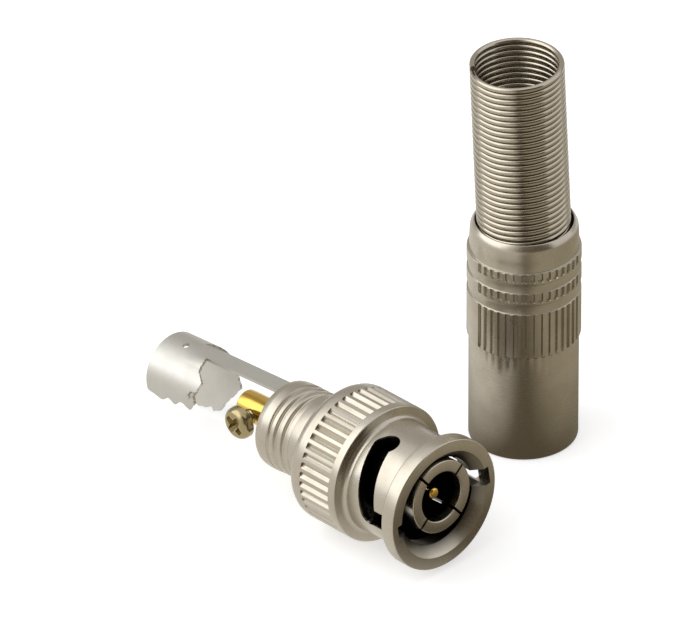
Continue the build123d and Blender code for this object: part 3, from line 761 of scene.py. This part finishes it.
class OBJECT_OT_plug_coupling_ring(bpy.types.Operator):
    """Builds the coupling ring"""
    bl_idname = "object.plug_coupling_ring"
    bl_label = "Coupling Ring"

    def execute(self, context):
        s, way, looks = context.scene.plug_ring, context.scene.plug_slots, context.scene.plug_finishes
        place = ring_place()
        relief_r = s.bore_r + s.relief_depth
        lip_front = s.grip_rear - s.lip_width
        outline = rounded([
            (0, s.bore_r + s.mouth_chamfer, s.edge / 2), (0, s.flange_r, s.edge),
            (s.flange_width, s.flange_r, s.edge), (s.flange_width, s.barrel_r, s.edge),
            (s.grip_front, s.barrel_r, s.barrel_fillet), (s.grip_front, s.grip_r, s.edge),
            (s.grip_rear, s.grip_r, s.grip_shoulder), (s.grip_rear, s.lip_r, s.edge),
            (lip_front, s.lip_r), (lip_front, s.chamber_r), (s.chamber_front, s.chamber_r),
            (s.chamber_front, relief_r), (s.relief_front, relief_r), (s.relief_front, s.bore_r),
            (s.mouth_chamfer, s.bore_r)], longest=1.2 * MM)
        soft, wall, deepest = 0.06 * MM, 0.5 * MM, 0.92
        knurl_rear = s.knurl_front + s.knurl_length
        outline = crossed(outline, (s.knurl_front, s.knurl_front + soft, knurl_rear - soft, knurl_rear))

        def flutes(station, radius, turn):
            """Flutes: V-shaped in section with a narrow flat bottom, with soft steps at both ends."""
            half = s.knurl_width / 2 / (2 * math.pi * s.grip_r / s.knurl_count)
            section = np.clip(1 - saw(turn, s.knurl_count) / half, 0, deepest) / deepest
            length = steps_between(station, s.knurl_front + soft, knurl_rear - soft, soft)
            outer = radius > s.grip_r - wall
            return station, radius - outer * s.knurl_depth * section * length

        columns = 12 * s.knurl_count
        ring = make_object("coupling_ring_dressed", [skin(turned(place, outline, columns, flutes))])
        inside, outside = s.bore_r - MM, s.barrel_r + MM
        entries = [way.entry_turn, way.entry_turn + math.pi]
        for start, end in (((way.start, 0), (way.end, -way.sweep)),
                           ((way.end, -way.sweep), (way.detent_station, -way.detent_turn))):
            cut(ring, *[slot_way(place, (start[0], start[1] + turn), (end[0], end[1] + turn),
                                 way.width, inside, outside) for turn in entries])
        reach = way.start + MM
        cut(ring, *[block(place, (reach, way.entry_width, way.entry_r - inside),
                          (reach / 2 - MM, 0, (way.entry_r + inside) / 2), turn - math.pi / 2)
                    for turn in entries])
        # Painted shade: the ring's surfaces inside the barrel, behind the mouth, are painted almost black, so the
        # slots look dark
        metal = plated_metal("nickel_ring", place, looks.nickel, looks.nickel_dull, looks.satin,
                             inside=(s.barrel_r - s.edge, s.edge, lip_front))
        finish_piece(ring, metal, "ring", "nickel_ring", "coupling_ring")
        return {"FINISHED"}


class OBJECT_OT_plug_outer_contact(bpy.types.Operator):
    """Builds the split sleeve in the mouth"""
    bl_idname = "object.plug_outer_contact"
    bl_label = "Outer Contact"

    def execute(self, context):
        s, looks = context.scene.plug_sleeve, context.scene.plug_finishes
        place = body_place()
        outline = rounded([(s.front, s.bore_r, s.edge), (s.front, s.outside_r, s.edge), (s.rear, s.outside_r),
                           (s.rear, s.bore_r)], longest=1.5 * MM)
        sleeve = make_object("outer_contact_dressed", [skin(turned(place, outline, columns=192))])
        length, reach = s.slit_length + MM, s.outside_r
        quarter = math.pi / 2
        cut(sleeve, *[block(place, (length, s.slit_width, reach),
                            (s.front - MM + length / 2, 0, s.bore_r / 2 + reach / 2),
                            s.slit_turn - quarter + i * quarter) for i in range(4)])
        # Painted shade: the whole sleeve behind its front edge, deep in the mouth, is painted almost black
        metal = plated_metal("nickel_sleeve", place, looks.nickel, looks.nickel_dull, looks.satin,
                             inside=(s.outside_r + MM, s.front + s.edge, s.rear + MM))
        finish_piece(sleeve, metal, "plug", "nickel_body", "outer_contact")
        return {"FINISHED"}


class OBJECT_OT_plug_body(bpy.types.Operator):
    """Builds the plug body with its rear thread"""
    bl_idname = "object.plug_body"
    bl_label = "Plug Body"

    def execute(self, context):
        s, looks = context.scene.plug_body, context.scene.plug_finishes
        place = body_place()
        collar_front = s.thread_front + s.thread_turns * s.thread_pitch
        rear = collar_front + s.collar_width
        cup_floor = rear - s.cup_depth
        outline = rounded([
            (s.nose_front, s.seat_r), (s.nose_front, s.nose_r, s.edge), (s.groove_front, s.nose_r),
            (s.groove_front, s.groove_r), (s.groove_rear, s.groove_r), (s.groove_rear, s.nose_r),
            (s.shoulder, s.nose_r), (s.shoulder, s.hub_r, s.edge / 2),
            (s.thread_front, s.hub_r, (s.hub_r - s.thread_r) / 2), (s.thread_front, s.thread_r),
            (collar_front, s.thread_r), (collar_front, s.collar_r),
            (rear - s.collar_taper, s.collar_r, s.collar_taper / 2),
            (rear, s.collar_r - s.collar_narrowing, 2 * s.edge), (rear, s.cup_r), (cup_floor, s.cup_r),
            (cup_floor, s.bore_r), (s.seat_rear, s.bore_r), (s.seat_rear, s.seat_r)], longest=1.2 * MM)
        outline = divided(outline, s.thread_front, collar_front, s.thread_pitch / 20)
        plain, run_out, wall = 0.25 * MM, 0.2 * MM, 0.05 * MM

        def thread(station, radius, turn):
            """Helical groove between the hub and the collar, running out at both ends."""
            depth = helix_wave(station, turn, s.thread_front + s.thread_pitch / 2, s.thread_pitch,
                               floor_share=0.16, groove_share=0.62)
            within = steps_between(station, s.thread_front + plain, collar_front - plain, run_out)
            outside = radius > s.thread_r - wall
            return station, radius - outside * within * depth * s.thread_depth

        grid = turned(place, outline, 216, thread)
        body = make_object("plug_body_dressed", [skin(grid)], sharp=math.radians(55))
        metal = plated_metal("nickel_body", place, looks.nickel, looks.nickel_dull, looks.satin)
        finish_piece(body, metal, "plug", "nickel_body", "plug_body")
        return {"FINISHED"}


class OBJECT_OT_plug_centre_contact(bpy.types.Operator):
    """Builds the centre contact, with its pin and post"""
    bl_idname = "object.plug_centre_contact"
    bl_label = "Centre Contact"

    def execute(self, context):
        s, looks = context.scene.plug_contact, context.scene.plug_finishes
        place = body_place()
        flange_rear = s.flange_front + s.flange_width
        hole_floor = s.post_rear - s.wire_hole_depth
        edge, clearance = 0.15 * MM, 0.05 * MM
        outline = rounded([
            (s.pin_front, 0), (s.pin_front, s.pin_r, s.pin_tip), (s.insulator_front, s.pin_r),
            (s.insulator_front, s.neck_r), (s.shank_front, s.neck_r), (s.shank_front, s.shank_r),
            (s.flange_front, s.shank_r), (s.flange_front, s.flange_r), (flange_rear, s.flange_r),
            (flange_rear, s.shank_r), (s.post_front, s.shank_r), (s.post_front, s.post_r),
            (s.post_rear, s.post_r, edge), (s.post_rear, s.wire_hole_r, edge / 3),
            (hole_floor, s.wire_hole_r), (hole_floor, 0)], longest=1.5 * MM)
        grid = turned(place, outline, columns=96)
        contact = make_object("centre_contact_dressed", [skin(grid, closed_rows=False)])
        cut(contact, pin(screw_place(place, s), s.screw_r + clearance, s.post_r + MM, columns=48))
        metal = plated_metal("gold_plate", place, looks.gold, dimmed(looks.gold, 0.8), looks.polished)
        finish_piece(contact, metal, "plug", "gold_plate", "centre_contact")
        return {"FINISHED"}


def screw_place(place, s):
    """Heights run out of the post at the terminal screw, square to the plug's axis."""
    out = math.cos(s.screw_turn) * place.side + math.sin(s.screw_turn) * place.up
    across = -math.sin(s.screw_turn) * place.side + math.cos(s.screw_turn) * place.up
    return Place(place.lay(s.screw_station, 0, 0), out, across, place.along)


class OBJECT_OT_plug_terminal_screw(bpy.types.Operator):
    """Builds the cross-recessed terminal screw"""
    bl_idname = "object.plug_terminal_screw"
    bl_label = "Terminal Screw"

    def execute(self, context):
        s, looks = context.scene.plug_contact, context.scene.plug_finishes
        place = screw_place(body_place(), s)
        under = s.post_r + s.screw_lift
        top, tip = under + s.head_height, under - s.screw_length
        bevel, thread_depth, near = 0.12 * MM, 0.1 * MM, 0.01 * MM
        outline = rounded([(tip, 0), (tip, s.screw_r, bevel), (under, s.screw_r), (under, s.head_r, bevel / 2),
                           (top, s.head_r, s.head_dome), (top, 0)], longest=0.06 * MM)

        def thread(station, radius, turn):
            """Fine thread on the shank, which runs out before the tip and the head."""
            depth = helix_wave(station, turn, tip, s.screw_pitch, floor_share=0.1, groove_share=0.9)
            shank = np.abs(radius - s.screw_r) < near
            within = steps_between(station, tip + 0.2 * MM, under - 0.15 * MM, 0.1 * MM)
            return station, radius - shank * within * depth * thread_depth

        grid = turned(place, outline, 96, thread)
        screw = make_object("terminal_screw_dressed", [skin(grid, closed_rows=False)])
        # The cross is one arm's outline turned four times, in the plane of complex numbers
        arm, reach, spin = s.recess_arm / 2, s.recess_span / 2, math.radians(38)
        knee = 1.5 * arm
        quarter = np.array([reach - 1j * arm, reach + 1j * arm, knee + 1j * knee])
        cross = np.concatenate([quarter * 1j ** i for i in range(4)]) * np.exp(1j * spin)
        floor_share, floor, above = 0.62, top - s.recess_depth, top + MM
        opening = 1 + (1 - floor_share) * MM / s.recess_depth
        heights = np.array([floor, floor, above, above])[:, None]
        width = np.array([0, floor_share, opening, 0])[:, None]
        cut(screw, skin(place.lay(heights, width * cross.real, width * cross.imag), closed_rows=False))
        metal = plated_metal("screw_plate", place, looks.screw, dimmed(looks.screw, 0.7), looks.polished)
        finish_piece(screw, metal, "screw", "screw_plate", "terminal_screw")
        return {"FINISHED"}


# Torn edges of the claw: share of its length behind its front, and height above its centre as a share of
# its radius
NEAR_FRONT = [(0.169, 0.963), (0.150, 0.800), (0.075, 0.700), (0.0, 0.575), (0.05, 0.40),
              (0.094, 0.225), (0.075, -0.025)]
NEAR_BOTTOM = [(0.075, -0.025), (0.181, -0.275), (0.263, -0.213), (0.35, -0.15), (0.438, -0.288),
               (0.525, -0.325), (0.60, -0.213), (0.738, -0.375), (0.825, -0.375), (0.90, -0.30),
               (1.0, -0.225)]
FAR_FRONT = [(0.488, 0.963), (0.363, 0.45), (0.30, -0.075), (0.188, -0.45)]
FAR_BOTTOM = [(0.188, -0.45), (0.263, -0.613), (0.363, -0.80), (0.425, -1.0), (0.525, -1.225), (0.625, -1.35),
              (0.663, -1.213), (0.775, -1.30), (0.9125, -1.3875), (1.0, -1.275)]


def even_steps(rows, count):
    """count points evenly spaced along the straight stretches through the rows."""
    rows = np.array(rows, float)
    length = np.concatenate([[0], np.cumsum(np.linalg.norm(np.diff(rows, axis=0), axis=1))])
    at = np.linspace(0, length[-1], count)
    return np.stack([np.interp(at, length, rows[:, 0]), np.interp(at, length, rows[:, 1])], axis=1)


def stretched_between(top, bottom, front, rear):
    """Points that fill a patch with four curved edges.

    Each point is the sum of where it lies between top and bottom and where between front and rear, less where
    it lies between the four corners.
    """
    s = np.linspace(0, 1, len(top))[:, None, None]
    t = np.linspace(0, 1, len(front))[None, :, None]
    across = (1 - t) * top[:, None] + t * bottom[:, None]
    down = (1 - s) * front[None] + s * rear[None]
    corners = (1 - t) * ((1 - s) * top[0] + s * top[-1]) + t * ((1 - s) * bottom[0] + s * bottom[-1])
    return across + down - corners


class OBJECT_OT_plug_cable_clamp(bpy.types.Operator):
    """Builds the cable clamp from one folded sheet"""
    bl_idname = "object.plug_cable_clamp"
    bl_label = "Cable Clamp"

    def execute(self, context):
        s, looks = context.scene.plug_clamp, context.scene.plug_finishes
        body = body_place()
        place = body.pitched(s.pivot, s.strap_top, s.sag)
        half = s.strap_width / 2
        claw_rear = s.claw_front + s.claw_length
        leg_arc = s.claw_r * (math.pi / 2 + s.leg_turn)
        step = 0.08 * MM

        def fold(station, run):
            """Where a point of the flat blank lies: along the claw's arc, then along the straight far leg.

            run is the distance from the strap's middle line, towards the far side. The strap is flat, and the
            claw takes up its curve over its first half, sooner away from the strap's middle line.
            """
            curved_from, curves_over, strap_fades = 0.55 * s.claw_length, 0.5 * s.claw_length, 1.2 * half
            arc = np.minimum(run, leg_arc) / s.claw_r
            straight = np.maximum(run - leg_arc, 0)
            side = s.claw_r * np.sin(arc) - straight * math.sin(s.leg_turn)
            drop = s.claw_r * (1 - np.cos(arc)) + straight * math.cos(s.leg_turn)
            flat = smooth((s.claw_front + curved_from - station) / curves_over)
            keep = np.clip(1 - (np.abs(run) - half) / strap_fades, 0, 1)
            return place.lay(station, side, s.strap_top - drop * (1 - flat * keep))

        def blank_edge(rows):
            """The torn edge's rows as stations and runs on the blank."""
            rows = np.array(rows) * (s.claw_length, s.claw_r)
            lowest = -s.claw_r * math.sin(s.leg_turn)
            arc = s.claw_r * np.arccos(np.clip(np.maximum(rows[:, 1], lowest) / s.claw_r, -1, 1))
            run = arc + np.maximum(lowest - rows[:, 1], 0) / math.cos(s.leg_turn)
            return np.stack([s.claw_front + rows[:, 0], run], axis=1)

        def tear(edge, seed):
            """Moves an edge's points by a few sines of different lengths, and not at its ends."""
            tears, sharpest = (23.0, 41.0, 67.0, 113.0), 1.5 * MM
            at = np.linspace(0, 1, len(edge))
            wave = sum(np.sin(at * turns + seed * turns) / turns for turns in tears)
            fade = np.clip(np.minimum(at, 1 - at) * 12, 0, 1)
            return edge + np.stack([wave, np.roll(wave, 7)], axis=1) * (fade * sharpest)[:, None]

        def sheet(grid):
            return skin(grid, closed_rows=False, closed_columns=False)

        rear_count = 72
        sheets = []
        for way, front_rows, bottom_rows, seed in (
                (-1, NEAR_FRONT, NEAR_BOTTOM, 1.7), (1, FAR_FRONT, FAR_BOTTOM, 4.2)):
            first = s.claw_front + front_rows[0][0] * s.claw_length
            top_count = 1 + round((claw_rear - first) / step)
            first = claw_rear - (top_count - 1) * step
            top = np.stack([np.linspace(first, claw_rear, top_count), np.full(top_count, half)], axis=1)
            front = blank_edge(front_rows)
            front[0] = top[0]
            front = tear(even_steps(front, rear_count), seed)
            bottom = tear(even_steps(blank_edge(bottom_rows), top_count), seed + 1)
            rear = np.linspace(top[-1], bottom[-1], rear_count)
            patch = stretched_between(top, bottom, front, rear)
            sheets.append(sheet(fold(patch[..., 0], way * patch[..., 1])))
        claw_steps = round(s.claw_length / step)
        bend = 0.6 * MM
        station = np.concatenate([np.linspace(s.pivot + bend, s.claw_front - bend / 2, 24),
                                  claw_rear - step * np.arange(claw_steps, -1, -1)])
        rise = np.linspace(0, math.pi / 2, 7)[:-1]
        across = np.linspace(-half, half, 13)[None]
        tab_station = s.pivot - s.sheet + bend * (1 - np.cos(rise))
        tab_up = s.strap_top - bend * (1 - np.sin(rise))
        tab = place.lay(np.concatenate([[s.pivot - s.sheet], tab_station])[:, None] + 0 * across, across,
                        np.concatenate([[s.strap_top - 3 * bend], tab_up])[:, None])
        strap = fold(station[:, None] + 0 * across, across + 0 * station[:, None])
        sheets.append(sheet(np.concatenate([tab, strap])))
        clamp = make_object("cable_clamp_dressed", sheets)
        thick = clamp.modifiers.new("thickness", "SOLIDIFY")
        thick.thickness = s.sheet
        thick.offset = -1 if outward(clamp, place) else 1
        apply_modifiers(clamp)
        disc = rounded([(s.pivot - s.sheet, s.base_hole_r), (s.pivot - s.sheet, s.base_r, 0.05 * MM),
                        (s.pivot, s.base_r, 0.05 * MM), (s.pivot, s.base_hole_r)], longest=MM)
        combine(clamp, make_object("base", [skin(turned(body, disc, columns=120))]), "UNION")
        below_hole = place.lay(s.claw_front + s.piercing_behind, s.piercing_side, 0)
        drill = Place(below_hole, place.up, place.side, place.along)
        cut(clamp, pin(drill, s.piercing_r, 2 * s.strap_top, columns=40))
        metal = plated_metal("sheet_nickel", place, looks.sheet, dimmed(looks.sheet, 0.86), looks.sheet_satin,
                             marks=0.02, grain=1.2)
        finish_piece(clamp, metal, "plug", "sheet_nickel", "cable_clamp")
        return {"FINISHED"}


def outward(piece, place):
    """Whether the faces of an open sheet point away from the place's axis."""
    mesh = piece.data
    centres, normals = np.empty(3 * len(mesh.polygons)), np.empty(3 * len(mesh.polygons))
    mesh.polygons.foreach_get("center", centres)
    mesh.polygons.foreach_get("normal", normals)
    centres, normals = centres.reshape(-1, 3) - place.origin, normals.reshape(-1, 3)
    centres -= (centres @ place.along)[:, None] * place.along
    return float(np.sum(centres * normals)) > 0


class OBJECT_OT_plug_back_shell(bpy.types.Operator):
    """Builds the back shell with its knurled bands"""
    bl_idname = "object.plug_back_shell"
    bl_label = "Back Shell"

    def execute(self, context):
        s, looks = context.scene.plug_shell, context.scene.plug_finishes
        place = shell_place()
        bevel, small, face, foot_bevel = 0.15 * MM, 0.06 * MM, 0.12 * MM, 0.25 * MM
        floor_r = s.outside_r + bevel / 2
        crown = s.height - s.crown_wall
        outline = rounded([
            (0, s.thread_r, small), (0, s.outside_r, s.foot_round), (s.low_bottom, s.outside_r),
            (s.low_bottom + foot_bevel, s.band_r), (s.low_top, s.band_r, small), (s.low_top, floor_r, small),
            (s.middle_bottom, floor_r, small), (s.middle_bottom + bevel, s.band_r, small),
            (s.middle_top, s.band_r, small), (s.middle_top, floor_r, small), (s.top_bottom, floor_r, small),
            (s.top_bottom + bevel, s.band_r, small), (s.top_top, s.band_r, small),
            (s.top_top, s.neck_r, small), (s.height - s.crown_round, s.neck_r, s.crown_round),
            (s.height - s.shoulder_drop, s.neck_r - s.shoulder_narrowing, s.shoulder_round),
            (s.height, s.hole_r + face, face), (s.height, s.hole_r, small), (crown, s.hole_r),
            (crown - face, s.bore_r), (s.thread_length + s.thread_runout, s.bore_r),
            (s.thread_length, s.thread_r)], longest=2.5 * MM, arc_steps=3)
        soft = 0.07 * MM
        bands = ((s.low_bottom, s.low_top - soft), (s.middle_bottom + s.knurl_rim, s.middle_top - soft),
                 (s.top_bottom + s.knurl_rim, s.top_top - soft))
        ends = [station for low, high in bands for station in (low - soft, low, high, high + soft)]
        outline = crossed(outline, ends)
        outline = divided(outline, 0.0, s.thread_length, s.thread_pitch / 10, (s.thread_r + s.bore_r) / 2)
        flank, wall, near = 0.07, 0.1 * MM, 0.01 * MM

        def knurl_and_thread(station, radius, turn):
            """Square grooves in the bands' front and rear sectors, and a helical thread inside the foot."""
            width = s.knurl_width / (2 * math.pi * s.band_r / s.knurl_count)
            section = np.clip((width / 2 - saw(turn, s.knurl_count)) / flank + 0.5, 0, 1)
            facing = np.abs((turn + math.pi / 2) % math.pi - math.pi / 2)
            section = section * (facing < s.knurl_sector)
            length = sum(steps_between(station, low, high, soft) for low, high in bands)
            depth = np.maximum(radius - (s.band_r - s.knurl_depth), 0)
            outside = radius > s.outside_r - wall
            groove = helix_wave(station, turn, 0, s.thread_pitch, floor_share=0.2, groove_share=0.7)
            groove = groove * steps_between(station, 0.7 * MM, s.thread_length - 0.5 * MM, 0.4 * MM)
            inside = radius < s.thread_r + near
            return station, (radius - outside * section * length * depth
                             + inside * groove * (s.bore_r - s.thread_r) * 0.9)

        grid = turned(place, outline, 10 * s.knurl_count, knurl_and_thread)
        shell = make_object("back_shell_dressed", [skin(grid)])
        metal = plated_metal("nickel_shell", place, looks.nickel, looks.nickel_dull, looks.satin, handling=0.5)
        finish_piece(shell, metal, "plug", "nickel_shell", "back_shell")
        return {"FINISHED"}


class OBJECT_OT_plug_strain_spring(bpy.types.Operator):
    """Builds the strain relief spring"""
    bl_idname = "object.plug_strain_spring"
    bl_label = "Strain Relief Spring"

    def execute(self, context):
        """The wire's middle rises one pitch each turn, and eases into a wide turn below the lowest one."""
        s, looks = context.scene.plug_spring, context.scene.plug_finishes
        place = spring_place()
        steps_a_turn, sides, wide_turns, start = 72, 14, 1.35, math.radians(100)
        steps = int((s.turns + wide_turns) * steps_a_turn)
        turns = np.linspace(-wide_turns, s.turns, steps + 1)
        ease = smooth(-turns)
        radius = s.coil_r - s.wire_r + ease * (s.flare_r - s.coil_r)
        wide_height = s.flare_lift - 0.45 * s.pitch
        height = s.pitch * turns * (1 - ease) + wide_height * ease
        turn = turns * 2 * math.pi + start
        # Both ends of the wire close in a point
        turn, radius, height = (np.pad(v, 1, mode="edge")[:, None] for v in (turn, radius, height))
        wire_r = np.pad(np.full(steps + 1, s.wire_r), 1)[:, None]
        round_wire = np.linspace(0, 2 * math.pi, sides, endpoint=False)[None]
        out = radius + wire_r * np.cos(round_wire)
        grid = place.lay(height + wire_r * np.sin(round_wire), out * np.cos(turn), out * np.sin(turn))
        spring = make_object("strain_relief_spring_dressed", [skin(grid, closed_rows=False)], math.radians(60))
        metal = plated_metal("bright_steel", place, looks.bright, looks.nickel_dull, looks.polished, marks=0.02)
        finish_piece(spring, metal, "plug", "bright_steel", "strain_relief_spring")
        return {"FINISHED"}


class OBJECT_OT_plug_wave_washers(bpy.types.Operator):
    """Builds the two wave washers under the coupling ring"""
    bl_idname = "object.plug_wave_washers"
    bl_label = "Wave Washers"

    def execute(self, context):
        s, looks = context.scene.plug_washers, context.scene.plug_finishes
        place = ring_place()
        metal = plated_metal("spring_steel_washers", place, looks.spring_steel, looks.spring_steel, looks.satin)
        bend_r = s.outside_r ** 2 / (2 * s.rise) + s.rise / 2
        outline = np.array([(0, s.bore_r), (0, s.outside_r), (s.sheet, s.outside_r), (s.sheet, s.bore_r)])

        def build(node, crest, way, aside):
            def bent(station, radius, turn):
                """A sheet bent about one diameter: crest + way (R - sqrt((R - depth)^2 - offset^2))."""
                offset = radius * np.cos(turn - aside)
                return crest + way * (bend_r - np.sqrt((bend_r - station) ** 2 - offset ** 2)), radius

            washer = make_object(node + "_dressed", [skin(turned(place, outline, 96, bent))])
            finish_piece(washer, metal, "washer_stack", "spring_steel", node)
            tuple(place.lay(s.stop, 0, 0))
            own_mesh(washer)

        build("spring_washer_front", s.front, 1, 0.0)
        build("spring_washer_rear", s.rear + s.rise + s.sheet, -1, math.pi / 2)
        return {"FINISHED"}


class OBJECT_OT_plug_hidden_pieces(bpy.types.Operator):
    """Gives the pieces inside the plug their finishes"""
    bl_idname = "object.plug_hidden_pieces"
    bl_label = "Insulators, Washers and Gasket"

    def execute(self, context):
        looks = context.scene.plug_finishes
        body, ring = body_place(), ring_place()
        steel = plated_metal("spring_steel", ring, looks.spring_steel, looks.spring_steel, looks.satin)
        plastic = moulded("insulator", body, tuple(looks.insulator), 0.38)
        shaded = moulded("insulator_in_the_mouth", body, dimmed(looks.insulator, 0.05), 0.38)
        rubber = moulded("gasket", body, tuple(looks.gasket), 0.6)
        for node, material in (("retaining_ring", steel), ("slip_washer", steel), ("insulator_front", shaded),
                               ("insulator_rear", plastic), ("front_gasket", rubber)):
            mesh = frame["nodes"][node].data
            mesh.materials.clear()
            mesh.materials.append(material)
        return {"FINISHED"}


def seen_directly(paint):
    """1 for camera, mirror and glass rays."""
    paths = ("Is Camera Ray", "Is Glossy Ray", "Is Transmission Ray")
    rays = [paint.node("ShaderNodeLightPath", output=name) for name in paths]
    return rays[0].at_least(rays[1]).at_least(rays[2])


def stage_plate(name, corners, material):
    """A flat plate through four corners, that belongs to the stage."""
    mesh = bpy.data.meshes.new(name)
    mesh.from_pydata(corners, [], [(0, 1, 2, 3)])
    mesh.materials.append(material)
    plate = bpy.data.objects.new(name, mesh)
    bpy.context.scene.collection.objects.link(plate)
    return plate


def standing(place, right, top, back):
    """Matrix of a camera or lamp at a place, from its right, its top and the way behind it."""
    return Matrix([(*row,) for row in np.stack([right, top, back, place], axis=1)] + [(0, 0, 0, 1)])


class OBJECT_OT_plug_stage(bpy.types.Operator):
    """Sets the camera, the white floor, the lamp and the cards that the metal reflects"""
    bl_idname = "object.plug_stage"
    bl_label = "Stage"

    def execute(self, context):
        s = context.scene.plug_stage
        foot = shell_foot()
        right, away = level(s.view_turn)
        self.place_camera(context, s, foot, right, away)
        self.make_world(context, s)
        self.make_floor(s, foot, right, away)
        self.make_cards(foot, right, away)
        self.make_lamp(context, s, foot, right, away)
        context.scene.view_settings.view_transform = "Standard"
        return {"FINISHED"}

    def place_camera(self, context, s, foot, right, away):
        """The camera looks down at the shell's foot and is moved sideways and up, so the view is centred."""
        forward = math.cos(s.elevation) * away - math.sin(s.elevation) * UP
        above = math.sin(s.elevation) * away + math.cos(s.elevation) * UP
        to_right = math.cos(s.roll) * right + math.sin(s.roll) * above
        to_top = math.cos(s.roll) * above - math.sin(s.roll) * right
        eye = foot - s.distance * forward - s.aim_left * right + s.aim_up * above
        data = bpy.data.cameras.new("camera")
        image_width, pixels_right, pixels_up = 695, 0.377, 0.443
        data.sensor_width = 36
        data.lens = s.focal_pixels * data.sensor_width / image_width
        data.shift_x, data.shift_y = pixels_right / image_width, pixels_up / image_width
        data.clip_start, data.clip_end = 0.1, 20
        camera = bpy.data.objects.new("camera", data)
        context.scene.collection.objects.link(camera)
        camera.matrix_world = standing(eye, to_right, to_top, -forward)
        context.scene.camera = camera

    def make_world(self, context, s):
        """White surroundings that light the object plainly and show white in the metal."""
        world = bpy.data.worlds.new("white surroundings")
        context.scene.world = world
        paint = Paint(world)
        strength = seen_directly(paint) * (1 - s.world) + s.world
        shine = paint.node("ShaderNodeBackground", inputs={"Color": (1, 1, 1, 1), "Strength": strength})
        paint.node("ShaderNodeOutputWorld", inputs={"Surface": shine})

    def make_floor(self, s, foot, right, away):
        """A wide floor whose lit parts show white, while a faint shadow stays under the object."""
        reach, glow_in_mirrors, more_in_view = 6.0, 0.10, 0.35
        material = bpy.data.materials.new("white floor")
        paint = Paint(material)
        diffuse = paint.node("ShaderNodeBsdfDiffuse", inputs={"Color": (s.floor, s.floor, s.floor, 1)})
        camera = paint.node("ShaderNodeLightPath", output="Is Camera Ray")
        glow = paint.node("ShaderNodeEmission", inputs={
            "Color": (1, 1, 1, 1), "Strength": seen_directly(paint) * glow_in_mirrors + camera * more_in_view})
        paint.ends_in(paint.node("ShaderNodeAddShader", inputs={0: diffuse, 1: glow}))
        corners = [foot + reach * (i * right + j * away) for i, j in ((-1, -1), (1, -1), (1, 1), (-1, 1))]
        stage_plate("floor", corners, material)

    def make_cards(self, foot, right, away):
        """Cards just above the floor and around the object, that show only in the metal.

        Distances are in millimetres from the shell's foot. Each card has three tones from left to right. The
        steps are the distances to the right at which the first gives way to the second, from and to, and the
        second to the third.
        """
        light, dark = (0.88, 0.85, 0.79), (0.15, 0.125, 0.088)
        warm, grey = (0.46, 0.41, 0.31), (0.55, 0.53, 0.49)
        clear_of_floor = 0.05
        for name, tones, steps, corners in (
                ("floor card", (light, dark, warm), (-17, -3, 3, 18),
                 ((-700, -900, 0), (900, -900, 0), (900, 60, 0), (-700, 60, 0))),
                ("dark wall", (light, dark, dark), (-500, -100, 800, 900),
                 ((-700, -900, 0), (1500, -900, 0), (1500, -900, 1600), (-700, -900, 1600))),
                ("back card", (grey, grey, grey), (-2, -1, 1, 2),
                 ((-1500, 700, 0), (1500, 700, 0), (1500, 700, 700), (-1500, 700, 700)))):
            material = bpy.data.materials.new(name)
            paint = Paint(material)
            to_right = coordinates(paint, Place(foot, right, away, UP))[1]
            tone = paint.mix(to_right.between(*steps[:2]), rgba(tones[0]), rgba(tones[1]))
            tone = paint.mix(to_right.between(*steps[2:]), tone, rgba(tones[2]))
            paint.ends_in(paint.node("ShaderNodeEmission", inputs={"Color": tone, "Strength": 1.0}))
            corners = [foot + MM * (i * right + j * away + (k + clear_of_floor) * UP) for i, j, k in corners]
            card = stage_plate(name, corners, material)
            card.visible_camera = card.visible_diffuse = card.visible_shadow = card.visible_transmission = False

    def make_lamp(self, context, s, foot, right, away):
        """One big soft lamp above the left of the view, which faces the shell's foot."""
        width, distance = 1.4, 1.2
        data = bpy.data.lights.new("key lamp", "AREA")
        data.shape, data.size, data.energy = "SQUARE", width, s.key_power
        lamp = bpy.data.objects.new("key lamp", data)
        context.scene.collection.objects.link(lamp)
        towards = unit(-0.75 * right - 0.15 * away + 0.65 * UP)
        side = unit(np.cross(UP, towards))
        lamp.matrix_world = standing(foot + distance * towards, side, np.cross(towards, side), towards)


class VIEW3D_PT_coaxial_plug(bpy.types.Panel):
    """Lists the pieces of the plug"""
    bl_label = "Coaxial Plug"
    bl_idname = "VIEW3D_PT_coaxial_plug"
    bl_space_type = "VIEW_3D"
    bl_region_type = "UI"
    bl_category = "Coaxial Plug"

    def draw(self, context):
        for operator in OPERATORS:
            self.layout.operator(operator.bl_idname)


SETTINGS = {
    "plug_ring": RingSizes, "plug_slots": SlotSizes, "plug_sleeve": SleeveSizes, "plug_body": BodySizes,
    "plug_contact": ContactSizes, "plug_clamp": ClampSizes, "plug_shell": ShellSizes,
    "plug_spring": SpringSizes, "plug_washers": WasherSizes, "plug_finishes": Finishes,
    "plug_stage": StageSizes,
}
OPERATORS = (
    OBJECT_OT_plug_coupling_ring, OBJECT_OT_plug_outer_contact, OBJECT_OT_plug_body,
    OBJECT_OT_plug_centre_contact, OBJECT_OT_plug_terminal_screw, OBJECT_OT_plug_cable_clamp,
    OBJECT_OT_plug_back_shell, OBJECT_OT_plug_strain_spring, OBJECT_OT_plug_wave_washers,
    OBJECT_OT_plug_hidden_pieces, OBJECT_OT_plug_stage,
)


def register():
    for kind in (*SETTINGS.values(), *OPERATORS, VIEW3D_PT_coaxial_plug):
        bpy.utils.register_class(kind)
    for name, kind in SETTINGS.items():
        setattr(bpy.types.Scene, name, PointerProperty(type=kind))


def unregister():
    for name in SETTINGS:
        delattr(bpy.types.Scene, name)
    for kind in (VIEW3D_PT_coaxial_plug, *reversed(OPERATORS), *reversed(SETTINGS.values())):
        bpy.utils.unregister_class(kind)


def main():
    """Registers the add-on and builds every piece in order."""
    register()
    for operator in OPERATORS:
        group, name = operator.bl_idname.split(".")
        getattr(getattr(bpy.ops, group), name)()


if __name__ == "__main__":
    main()
